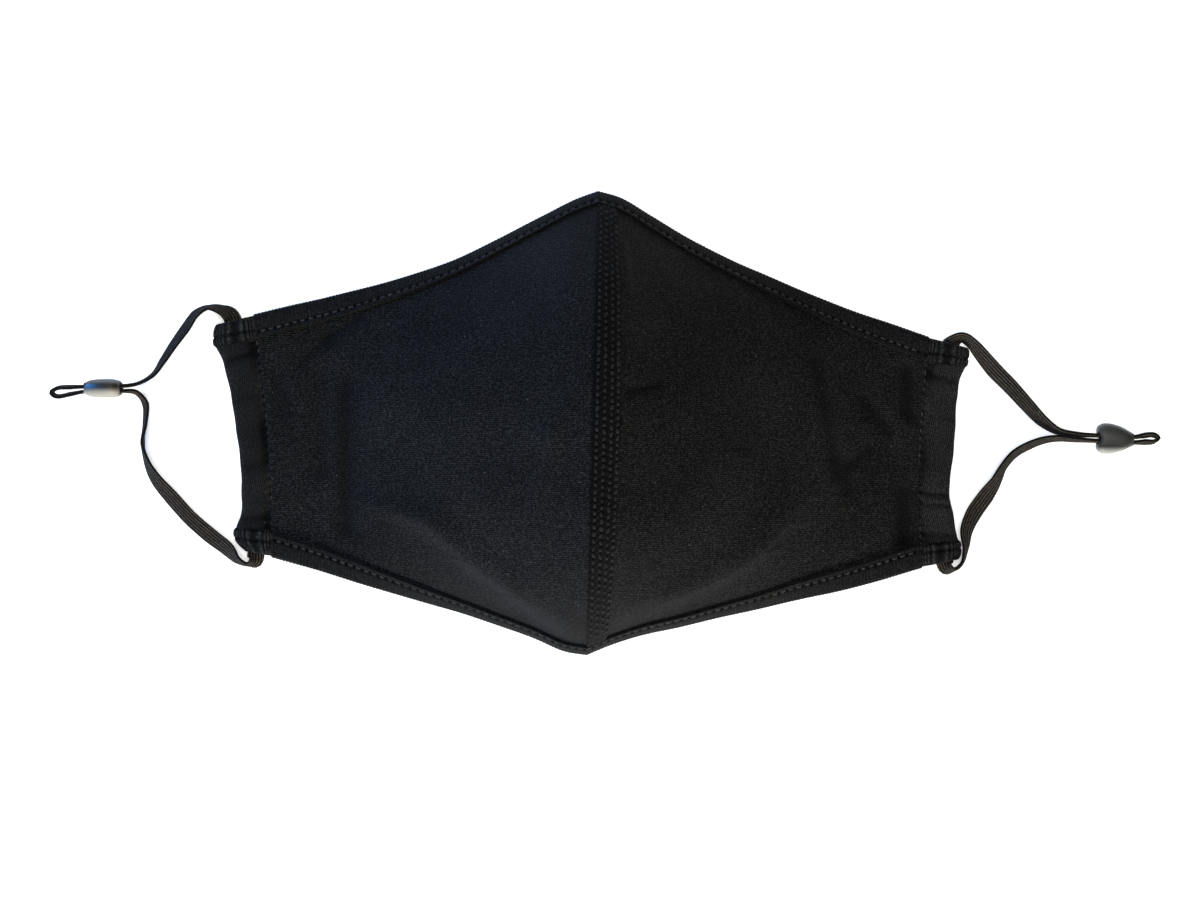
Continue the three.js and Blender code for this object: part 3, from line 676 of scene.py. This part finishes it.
# across the casing: share of its length, how far down the fold goes, how wide it is in millimetres
GATHERS = {
    "left": [(0.15, 0.35, 1.4), (0.33, 0.2, 3.0), (0.62, 0.25, 3.0), (0.85, 0.3, 2.0), (0.47, 0.1, 4.0)],
    "right": [(0.16, 0.4, 1.5), (0.34, 0.2, 2.0), (0.69, 0.45, 1.1), (0.74, 0.4, 1.0), (0.88, 0.35, 1.8)],
}
casing_edge = {side: smooth_table(rows) for side, rows in CASING_EDGES.items()}
CASING_LENGTH = {"left": 72.0, "right": 68.0}
# painted shade over the top of each casing, stronger on the left
CASING_PAINTED_SHADE = {"left": 0.5, "right": 0.15}


def casing_point(side, at, angle, inset, relief=0.0):
    """A point round a casing: angle 0 is its inner edge, a quarter turn is the top."""
    edge = casing_edge[side](at)
    outer = np.concatenate([edge, np.zeros_like(edge[..., :1])], axis=-1)
    inner = shell_point(CHEEKS[side], 0.0, at)
    inner[..., 2] = 0
    across = inner - outer
    width = np.linalg.norm(across, axis=-1)
    across /= width[..., None]
    inner = inner + across * LAP
    half_width = (width + LAP) / 2 - inset
    half_height = CASING_HEIGHT / 2 - inset
    cosine, sine = np.cos(angle), np.sin(angle)
    side_way = (half_width + relief) * np.sign(cosine) * np.abs(cosine) ** 0.55
    up = (half_height + relief) * np.sign(sine) * np.abs(sine) ** 0.7
    point = (outer + inner) / 2 + across * side_way[..., None]
    point[..., 2] = CASING_HEIGHT / 2 + up
    return point


def near_angle(angle, centre, width):
    """One at an angle round the casing, falling softly to nothing on both sides of it."""
    return bump(np.angle(np.exp(1j * (angle - centre))), width)


def gathered(side, along, angle, narrow=1.0):
    """How deep the folds across a casing go."""
    return sum(
        depth * bump(along - place * CASING_LENGTH[side] + 1.2 * np.cos(angle), narrow * width)
        for place, depth, width in GATHERS[side]
    )


def casing_relief(side, at, angle):
    along = at * CASING_LENGTH[side]
    puff = 0.4 * near_angle(angle, 0.55, 0.4) * (0.4 - near_stitch(along, 0.5, STITCH_PITCH, 0.5))
    fold = gathered(side, along, angle)
    slack = -0.45 * near_angle(angle, 1.0, 0.35)
    slack = slack + 0.14 * np.sin(along / 2.1 + 2 * np.cos(angle)) * np.sin(along / 5.3 + 1.0)
    return puff - fold * np.clip(np.sin(angle), 0, 1) + slack * np.clip(1 + 1.2 * np.sin(angle), 0, 1)


# Painted shade on a casing: along its stitch line, in its gathers, in a band by its inner edge and over its
# top.
def casing_painted_shade(side, at, angle):
    along = at * CASING_LENGTH[side]
    seam = near_angle(angle, 0.4, 0.3)
    fold = gathered(side, along, angle, narrow=0.6)
    shaded = 0.35 * near_angle(angle, 0.95, 0.4) * (1 + np.sin(along / 4.7))
    depth = CASING_PAINTED_SHADE[side] * near_angle(angle, 1.7, 1.2)
    return seam * (0.35 + 0.65 * near_stitch(along, 0.5, STITCH_PITCH, 0.6)) + fold + shaded + depth


def casing(side):
    def place(u, v, w):
        angle = 2 * math.pi * v
        relief = w * casing_relief(side, u, angle)
        points = casing_point(side, u, angle, (1 - w) * CASING_WALL, relief)
        return points, w * casing_painted_shade(side, u, angle)

    return slab("casing_cloth_" + side, CASING_COLUMNS, CASING_ROWS, place, ring=True)


casings = {side: casing(side) for side in CHEEKS}
for side, piece in casings.items():
    finish_piece(piece, "black_jersey", "casing_" + side)

# %% [markdown]
# ## The bound ends of the casings
#
# The binding was sewn on before the sides were folded, so it goes round with them: each mouth of a
# casing has a ribbed end. These are short ring slabs just over the casing, ribbed round their
# section, with a row of stitches like the binding's own.

# %% Casing ends
CUFF_WALL = 0.5
CUFF_RIBS = 28
CUFF_SUNK = 0.05  # how deep the bound end sits in the casing
CUFF_LINING = 0.3  # how high its inner face stays where it lies on the table
# share of the casing's length where each bound end starts and stops
CUFFS = {"left": [(-0.01, 0.095), (0.9, 1.01)], "right": [(-0.012, 0.1), (0.91, 1.012)]}


def cuff(name, side, first, last):
    length = abs(last - first) * CASING_LENGTH[side]
    mouth = 0 if first < 0 else 1

    def place(u, v, w):
        angle = 2 * math.pi * v
        inward = length * (u if mouth == 0 else 1 - u)
        valley = 1 - np.abs(np.sin(math.pi * CUFF_RIBS * v))
        hem = -0.55 * bump(inward, 0.9) - 0.45 * bump(inward - length, 0.5)
        row = -0.3 * bump(inward - STITCH_INSET, 0.5)
        over = -CUFF_SUNK + w * (CUFF_WALL + 0.1 - 0.35 * valley + hem + row + 0.12 * np.sin(5 * angle))
        at = mix(first, last, u)
        ends = np.clip(at, 0, 1)
        point = casing_point(side, ends, angle, 0.0, over)
        beyond = casing_point(side, np.full_like(at, float(mouth)), angle, 0.0) - casing_point(
            side, np.full_like(at, 0.02 if mouth == 0 else 0.98), angle, 0.0
        )
        point = point + beyond * ((at - ends) * (-50 if mouth == 0 else 50))[..., None]
        point[..., 2] = np.maximum(point[..., 2], mix(CUFF_LINING, 0.0, w))
        # painted shade in the rib valleys, along the stitch row and at the inner end of the bound end
        seam = 0.7 * bump(inward - STITCH_INSET, 0.5)
        painted_shade = 0.95 * np.clip(1.5 * valley, 0, 1) + seam + bump(inward - length, 0.6)
        return point, w * painted_shade

    return slab(name, 26, 6 * CUFF_RIBS, place, ring=True)


cuffs = []
for side, ranges in CUFFS.items():
    for end, (first, last) in zip(("top", "bottom"), ranges):
        cuffs.append(cuff(f"bound_end_{side}_{end}", side, first, last))
        finish_piece(cuffs[-1], "ribbed_binding")

# %% [markdown]
# ## Stitches
#
# Hundreds of stitches show. Each is a small bead of thread, pulled in at both ends, so a coarse
# sphere stretched along the seam is enough for it. One helper finds how a row of points runs and
# which way is out of the cloth, and puts one stretched sphere at each point, all in one mesh.

# %% Stitch helper
rng = np.random.default_rng(7)


def beads(name, centres, ahead, out, sizes):
    """A stretched sphere at each centre: sizes are length, width and height in millimetres."""
    bm = bmesh.new()
    ahead = unit(ahead)
    across = unit(np.cross(out, ahead))
    out = np.cross(ahead, across)
    for centre, x, y, z, size in zip(centres, ahead, across, out, sizes):
        turn = Matrix(np.column_stack([x * size[0], y * size[1], z * size[2]]) * MM / 2).to_4x4()
        turn.translation = centre * MM
        bmesh.ops.create_uvsphere(bm, u_segments=7, v_segments=6, radius=1.0, matrix=turn)
    bmesh.ops.recalc_face_normals(bm, faces=bm.faces)
    return object_from(bm, name)


def uneven(count, size, spread=0.12):
    return np.array(size) * rng.normal(1.0, spread, (count, 3)).clip(0.7, 1.35)


def row_frames(point_at, along, step=0.2):
    """Centres along a row, the way it runs, and the way out of the cloth."""
    centres = point_at(along, 0.0)
    return centres, point_at(along + step, 0.0) - point_at(along - step, 0.0), point_at(along, 0.4) - centres


# %% Stitches in the bindings
def hem_row(end):
    def point_at(along, up):
        inward = np.full_like(along, STITCH_INSET)
        return hem_point(end, along, inward, np.zeros_like(along), GAP + TAPE_WALL - 0.28 + up)

    return point_at


for end, name in ((0, "top"), (1, "bottom")):
    count = int(edges[end][1][-1] / STITCH_PITCH)
    along = (np.arange(count - 1) + 1.0) * STITCH_PITCH
    along = along + rng.normal(0, 0.05, len(along))
    centres, ahead, out = row_frames(hem_row(end), along)
    row = beads("binding_stitches_" + name, centres, ahead, out, uneven(len(along), (1.75, 0.62, 0.5)))
    bindings[name + "_stitches"] = finish_piece(row, "seam_tape")

# %% Stitches along the casings
casing_rows = []
for side in CHEEKS:
    def point_at(along, up, side=side):
        at = along / CASING_LENGTH[side]
        return casing_point(side, at, np.full_like(at, 0.5), 0.1, np.full_like(at, up))

    count = int(0.9 * CASING_LENGTH[side] / STITCH_PITCH)
    along = 0.05 * CASING_LENGTH[side] + (np.arange(count) + 0.5) * STITCH_PITCH
    centres, ahead, out = row_frames(point_at, along)
    row = beads("casing_stitches_" + side, centres, ahead, out, uneven(count, (1.7, 0.6, 0.5)))
    casing_rows.append(finish_piece(row, "seam_tape"))

# %% Chain stitches on the seam tape
chain_parts = []
for number, share in enumerate(CHAIN_SHARES):
    def point_at(along, up, share=share):
        across = np.full_like(along, share)
        return band_point(across, along / BAND_LENGTH, GAP + TAPE_WALL - 0.12 + up)

    count = int(BAND_LENGTH / CHAIN_PITCH) - 1
    along = (np.arange(count) + 0.7 + 0.5 * (number % 2)) * CHAIN_PITCH
    chain_parts.append([*row_frames(point_at, along), uneven(count, (1.5, 0.95, 0.75), 0.15)])
centres, ahead, out, sizes = (np.concatenate(parts) for parts in zip(*chain_parts))
ahead = unit(ahead) + 0.28 * unit(np.cross(out, ahead)) * np.where(np.arange(len(ahead)) % 2, 1, -1)[:, None]
chain = finish_piece(beads("seam_stitches", centres, ahead, out, sizes), "seam_tape")

# %% [markdown]
# ## The toggles
#
# A toggle is a small flattened bead of soft silicone, broad at the mask's end, with a slot for both
# strands of the elastic. It is a ring slab again: w = 0 is the wall of the slot and w = 1 the skin.
# The left one stands on its rim and the right one lies on its broad face.

# %% Toggles
TOGGLE_LENGTH = 11.2
TOGGLE_HALF_WIDTH = 4.6
TOGGLE_HALF_THICKNESS = 2.75
SLOT_WIDE, SLOT_THIN = 2.0, 1.7
TOGGLE_COLUMNS, TOGGLE_ROWS = 32, 56
# share of the length, and how much of the full width and thickness it has there
toggle_shape = smooth_table([
    (0.00, 0.46, 0.66), (0.05, 0.74, 0.84), (0.14, 0.93, 0.94), (0.30, 1.0, 1.0),
    (0.60, 0.87, 1.0), (0.80, 0.67, 0.94), (0.93, 0.50, 0.80), (1.00, 0.42, 0.62),
])


def soft_box(angle, a, b, power):
    cosine, sine = np.cos(angle), np.sin(angle)
    return a * np.sign(cosine) * np.abs(cosine) ** power, b * np.sign(sine) * np.abs(sine) ** power


def toggle(name, slot_half_width, slot_half_thickness, axes, centre):
    def place(u, v, w):
        even = (1 - np.cos(math.pi * u)) / 2
        size = toggle_shape(even)
        angle = 2 * math.pi * v
        half_width, half_thickness = TOGGLE_HALF_WIDTH * size[:, 0], TOGGLE_HALF_THICKNESS * size[:, 1]
        wide, thick = soft_box(angle, half_width, half_thickness, 0.85)
        slot_y, slot_z = soft_box(angle, slot_half_width, slot_half_thickness, 0.4)
        y, z = mix(slot_y, wide, w), mix(slot_z, thick, w)
        notch = 1.5 * bump(y, 1.8) * np.clip(1 - even * 4, 0, 1)
        x = (even - 0.5) * TOGGLE_LENGTH + notch
        return np.stack([x, y, z], axis=-1) @ np.array(axes, float) + np.array(centre), 0.0

    return slab(name, TOGGLE_COLUMNS, TOGGLE_ROWS, place, ring=True)


lean = math.radians(-2.4)
toggles = {
    "left": toggle("toggle_bead_left", SLOT_WIDE, SLOT_THIN,
                   [(-1, 0, 0), (0, 0, 1), (0, 1, 0)], (-146.4, 10.5, 4.6)),
    "right": toggle("toggle_bead_right", SLOT_THIN, SLOT_WIDE,
                    [(math.cos(lean), math.sin(lean), 0), (-math.sin(lean), math.cos(lean), 0), (0, 0, 1)],
                    (156.8, -4.65, 2.75)),
}
for side, piece in toggles.items():
    finish_piece(piece, "grey_silicone", "toggle_" + side)

# %% [markdown]
# ## Soft goods
#
# Each elastic is a cord that leaves the casing and goes back into it, and each cheek is a sheet, cut
# flat before it was sewn. Here the loop over the elastics does nothing, and each cheek's shell is only
# sampled on a grid, in metres.

# %% Cords and sheets
for side, route in routes.items():
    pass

for side, cheek in CHEEKS.items():
    u, t = np.meshgrid(np.linspace(0, 1, 120), np.linspace(0, 1, 120), indexing="ij")
    cloth = shell_point(cheek, u, t) * MM

# %% [markdown]
# ## Floor and light
#
# The mask lies on a plain white surface under soft light. Black cloth shows its shape only by how
# its slopes turn to the lights: a large soft light from the chin side brightens the jaw, and a cool
# one from the left gives that cheek its blue cast. A white surround fills in the rest. The white
# surface glows a little as well, so that the shadows on it stay pale and have no colour.

# %% Floor, world and lights
FLOOR_SIZE = 6.0
scene = bpy.context.scene
scene.view_settings.view_transform = "Standard"

bm = bmesh.new()
bmesh.ops.create_grid(bm, x_segments=1, y_segments=1, size=FLOOR_SIZE / 2)
bmesh.ops.translate(bm, verts=bm.verts, vec=(0.0, 0.0, -0.00005))
floor = object_from(bm, "floor")

world = bpy.data.worlds.new("studio")
scene.world = world
world.use_nodes = True
world.node_tree.nodes["Background"].inputs["Color"].default_value = (1.0, 1.0, 1.0, 1.0)
world.node_tree.nodes["Background"].inputs["Strength"].default_value = 0.14


def soft_light(name, turn, rise, strength, color, size=0.6, distance=1.3):
    """A square light turned round from +X and raised, in degrees; a strength of 1 lights white to white."""
    turn, rise = math.radians(turn), math.radians(rise)
    way = Vector((math.cos(turn) * math.cos(rise), math.sin(turn) * math.cos(rise), math.sin(rise)))
    light = bpy.data.lights.new(name, "AREA")
    light.shape = "SQUARE"
    light.size = size
    light.energy = strength * (math.pi * distance) ** 2
    light.color = color
    lamp = bpy.data.objects.new(name, light)
    lamp.location = way * distance
    lamp.rotation_euler = (-way).to_track_quat("-Z", "Y").to_euler()
    scene.collection.objects.link(lamp)
    return lamp


soft_light("chin_light", -94, 18, 2.1, (1.0, 1.0, 0.97))
soft_light("left_light", 165, 13, 1.25, (0.0, 0.28, 0.95))
soft_light("nose_light", 95, 25, 0.35, (1.0, 1.0, 1.0))
soft_light("top_light", 60, 88, 0.75, (1.0, 1.0, 0.97), size=0.7)

# %% [markdown]
# ## Finishes
#
# Cloth is never one even colour. The jersey, the tapes and the elastic share three effects, each
# made once as a node group: the rows of the knit, uneven wear and dust, and specks of lint. A group
# gives only a height or a mask, and each material decides what to do with it.


# %% Node helpers
def new_group(name, inputs, outputs):
    group = bpy.data.node_groups.new(name, "ShaderNodeTree")
    for label, kind, value in inputs:
        socket = group.interface.new_socket(name=label, in_out="INPUT", socket_type=kind)
        if value is not None:
            socket.default_value = value
    for label in outputs:
        group.interface.new_socket(name=label, in_out="OUTPUT", socket_type="NodeSocketFloat")
    return group, group.nodes.new("NodeGroupInput"), group.nodes.new("NodeGroupOutput")


def add(tree, kind, inputs=(), **settings):
    """A node with its settings, and its inputs linked or filled in."""
    node = tree.nodes.new(kind)
    for key, value in settings.items():
        setattr(node, key, value)
    for label, value in dict(inputs).items():
        if isinstance(value, bpy.types.NodeSocket):
            tree.links.new(value, node.inputs[label])
        else:
            node.inputs[label].default_value = value
    return node


def maths(tree, operation, a, b=0.5):
    return add(tree, "ShaderNodeMath", {0: a, 1: b}, operation=operation).outputs[0]


def rescale(tree, value, low, high, to_low=0.0, to_high=1.0):
    node = add(tree, "ShaderNodeMapRange", {"Value": value, "From Min": low, "From Max": high,
                                            "To Min": to_low, "To Max": to_high})
    return node.outputs["Result"]


def blend(tree, share, first, second):
    """A color between two others; each is a socket or a fixed color."""
    node = add(tree, "ShaderNodeMix", data_type="RGBA")
    names = {"Factor_Float": share, "A_Color": first, "B_Color": second}
    for socket in node.inputs:
        value = names.get(socket.identifier)
        if isinstance(value, bpy.types.NodeSocket):
            tree.links.new(value, socket)
        elif value is not None:
            socket.default_value = value
    return next(socket for socket in node.outputs if socket.identifier == "Result_Color")


def noise(tree, vector, scale, detail=2.0):
    node = add(tree, "ShaderNodeTexNoise", {"Vector": vector, "Scale": scale, "Detail": detail})
    return node.outputs["Fac"]


# %% Knit rows
knit, knit_in, knit_out = new_group(
    "knit_rows",
    [("Cloth", "NodeSocketVector", None), ("Rows", "NodeSocketFloat", 0.00058),
     ("Columns", "NodeSocketFloat", 0.00046)],
    ["Height", "Shade"],
)
parts = add(knit, "ShaderNodeSeparateXYZ", {"Vector": knit_in.outputs["Cloth"]})
wobble = rescale(knit, noise(knit, knit_in.outputs["Cloth"], 400.0), 0.3, 0.7, -0.35, 0.35)
row_phase = maths(knit, "ADD", maths(knit, "DIVIDE", parts.outputs["Y"], knit_in.outputs["Rows"]), wobble)
column_phase = maths(knit, "DIVIDE", parts.outputs["X"], knit_in.outputs["Columns"])
row_wave = maths(knit, "SINE", maths(knit, "MULTIPLY", row_phase, 2 * math.pi))
column_wave = maths(knit, "SINE", maths(knit, "MULTIPLY", column_phase, 2 * math.pi))
loops = maths(knit, "ADD", maths(knit, "MULTIPLY", row_wave, 0.6), maths(knit, "MULTIPLY", column_wave, 0.25))
fuzz = noise(knit, knit_in.outputs["Cloth"], 1500.0, 3.0)
height = maths(knit, "ADD", rescale(knit, loops, -0.85, 0.85), maths(knit, "MULTIPLY", fuzz, 0.9))
knit.links.new(height, knit_out.inputs["Height"])
knit.links.new(rescale(knit, height, 0.74, 1.18), knit_out.inputs["Shade"])

# %% Wear and lint
wear, wear_in, wear_out = new_group("wear", [("Place", "NodeSocketVector", None)], ["Patches", "Grain"])
wear.links.new(rescale(wear, noise(wear, wear_in.outputs["Place"], 45.0, 4.0), 0.3, 0.7),
               wear_out.inputs["Patches"])
wear.links.new(rescale(wear, noise(wear, wear_in.outputs["Place"], 1900.0, 1.0), 0.44, 0.6),
               wear_out.inputs["Grain"])

lint, lint_in, lint_out = new_group(
    "lint_specks",
    [("Place", "NodeSocketVector", None), ("Scale", "NodeSocketFloat", 520.0),
     ("Size", "NodeSocketFloat", 0.1)],
    ["Mask"],
)
cells = add(lint, "ShaderNodeTexVoronoi",
            {"Vector": lint_in.outputs["Place"], "Scale": lint_in.outputs["Scale"]})
chosen = maths(lint, "GREATER_THAN", noise(lint, cells.outputs["Position"], 900.0, 0.0), 0.66)
speck = maths(lint, "LESS_THAN", cells.outputs["Distance"], lint_in.outputs["Size"])
lint.links.new(maths(lint, "MULTIPLY", speck, chosen), lint_out.inputs["Mask"])


# %% Cloth materials
LINT_COLOR = (0.04, 0.04, 0.04, 1.0)
# the colour of painted shade
PAINTED_SHADE_COLOR = (0.0004, 0.0004, 0.0004, 1.0)


def new_material(name):
    material = bpy.data.materials.new(name)
    material.use_nodes = True
    return material, material.node_tree, material.node_tree.nodes["Principled BSDF"]


def cloth_material(name, dark, light, rows, columns, relief, grain=0.45, power=1.0, sheen=0.02):
    """Knitted cloth: dark between the loops, light on them, with grain, wear, lint and a faint sheen."""
    material, tree, shader = new_material(name)
    place = add(tree, "ShaderNodeTexCoord").outputs["Object"]
    # stitches have no UV map, so with no rows the pattern is laid through space instead
    cloth = add(tree, "ShaderNodeUVMap", uv_map="cloth").outputs["UV"] if rows else place
    knitted = add(tree, "ShaderNodeGroup", {"Cloth": cloth}, node_tree=knit)
    knitted.inputs["Rows"].default_value = rows or 0.0003
    knitted.inputs["Columns"].default_value = columns or 0.0003
    worn = add(tree, "ShaderNodeGroup", {"Place": place}, node_tree=wear)
    specks = add(tree, "ShaderNodeGroup", {"Place": place}, node_tree=lint)
    shade = maths(tree, "ADD", maths(tree, "MULTIPLY", knitted.outputs["Shade"], 1 - grain),
                  maths(tree, "MULTIPLY", worn.outputs["Grain"], grain))
    shade = maths(tree, "ADD", shade, rescale(tree, worn.outputs["Patches"], 0.0, 1.0, -0.08, 0.08))
    shade = maths(tree, "POWER", maths(tree, "MAXIMUM", shade, 0.0), power)
    base = blend(tree, shade, dark, light)
    # painted shade: the base is painted darker where the piece's attribute asks for it
    painted_shade = add(tree, "ShaderNodeAttribute", attribute_name="painted_shade").outputs["Fac"]
    base = blend(tree, painted_shade, base, PAINTED_SHADE_COLOR)
    base = blend(tree, specks.outputs["Mask"], base, LINT_COLOR)
    tree.links.new(base, shader.inputs["Base Color"])
    tree.links.new(rescale(tree, worn.outputs["Grain"], 0.0, 1.0, 0.8, 0.98), shader.inputs["Roughness"])
    raised = add(tree, "ShaderNodeBump", {"Height": knitted.outputs["Height"], "Strength": 1.0,
                                          "Distance": relief * MM})
    tree.links.new(raised.outputs["Normal"], shader.inputs["Normal"])
    shader.inputs["Specular IOR Level"].default_value = 0.05
    shader.inputs["Sheen Weight"].default_value = sheen
    shader.inputs["Sheen Roughness"].default_value = 0.5
    return material


def grey(value, warm=0.0):
    return (value * (1 + warm), value, value * (1 - warm), 1.0)


jersey = cloth_material("black_jersey", grey(0.0001), grey(0.0155), 0.00058, 0.00046, 0.1, 0.62, 1.7)
ribbed = cloth_material("ribbed_binding", grey(0.0006), grey(0.0135), 0.0004, 0.0005, 0.05, 0.6, 1.2)
tape = cloth_material("seam_tape", grey(0.0003), grey(0.008), 0.0004, 0.0004, 0.06, 0.6, 1.2)
webbing = cloth_material("flat_elastic", grey(0.006, 0.2), grey(0.066, 0.2), 0.0003, 0.0007, 0.08)
thread = cloth_material("sewing_thread", grey(0.008), grey(0.04), 0, 0, 0.04)
chain_thread = cloth_material("chain_thread", grey(0.003), grey(0.02), 0, 0, 0.04)
# The casings and their bound ends get lighter copies of the jersey and the binding: painted light, for the
# casings catching more light than the cheeks.
folded = cloth_material("casing_jersey", grey(0.0003), grey(0.028), 0.00058, 0.00046, 0.1, 0.4, 1.3)
bound_end = cloth_material("bound_end", grey(0.001), grey(0.034), 0.0004, 0.0005, 0.05, 0.5, 1.2)

# %% Silicone
def silicone_material(name, low, high, pale, dark):
    """Smoky silicone, pale with painted light on one side of a bead and dark on the other, between two places
    on Y.
    """
    material, tree, shader = new_material(name)
    place = add(tree, "ShaderNodeTexCoord").outputs["Object"]
    worn = add(tree, "ShaderNodeGroup", {"Place": place}, node_tree=wear)
    parts = add(tree, "ShaderNodeSeparateXYZ", {"Vector": place})
    side = rescale(tree, parts.outputs["Y"], low * MM, high * MM)
    uneven_side = maths(tree, "ADD", side, rescale(tree, worn.outputs["Patches"], 0.0, 1.0, -0.15, 0.15))
    tree.links.new(blend(tree, uneven_side, pale, dark), shader.inputs["Base Color"])
    tree.links.new(rescale(tree, worn.outputs["Patches"], 0.0, 1.0, 0.36, 0.5), shader.inputs["Roughness"])
    shader.inputs["Transmission Weight"].default_value = 0.08
    shader.inputs["IOR"].default_value = 1.41
    shader.inputs["Specular IOR Level"].default_value = 0.12
    return material


# the pale side of each bead is painted light, for light shining through its lower side
silicones = {
    "left": silicone_material("smoky_silicone", 9.4, 10.6,
                              (0.2, 0.185, 0.15, 1.0), (0.02, 0.017, 0.012, 1.0)),
    "right": silicone_material("grey_silicone", -8.5, -7.0,
                               (0.2, 0.2, 0.18, 1.0), (0.014, 0.014, 0.012, 1.0)),
}

# %% Floor finish
table_top, _, surface = new_material("white_surface")
surface_looks = {
    "Base Color": (0.92, 0.92, 0.92, 1.0),
    "Roughness": 0.9,
    "Specular IOR Level": 0.0,
    "Emission Color": (1.0, 1.0, 1.0, 1.0),
    "Emission Strength": 0.3,
}
for label, value in surface_looks.items():
    surface.inputs[label].default_value = value
floor.data.materials.append(table_top)


def dress(pieces, material):
    for piece in pieces:
        piece.data.materials.clear()
        piece.data.materials.append(material)


dress(panels.values(), jersey)
dress(casings.values(), folded)
dress([bindings["top"], bindings["bottom"]], ribbed)
dress(cuffs, bound_end)
dress([band], tape)
dress([*casing_rows, bindings["top_stitches"], bindings["bottom_stitches"]], thread)
dress([chain], chain_thread)
dress(elastics.values(), webbing)
for side, piece in toggles.items():
    dress([piece], silicones[side])
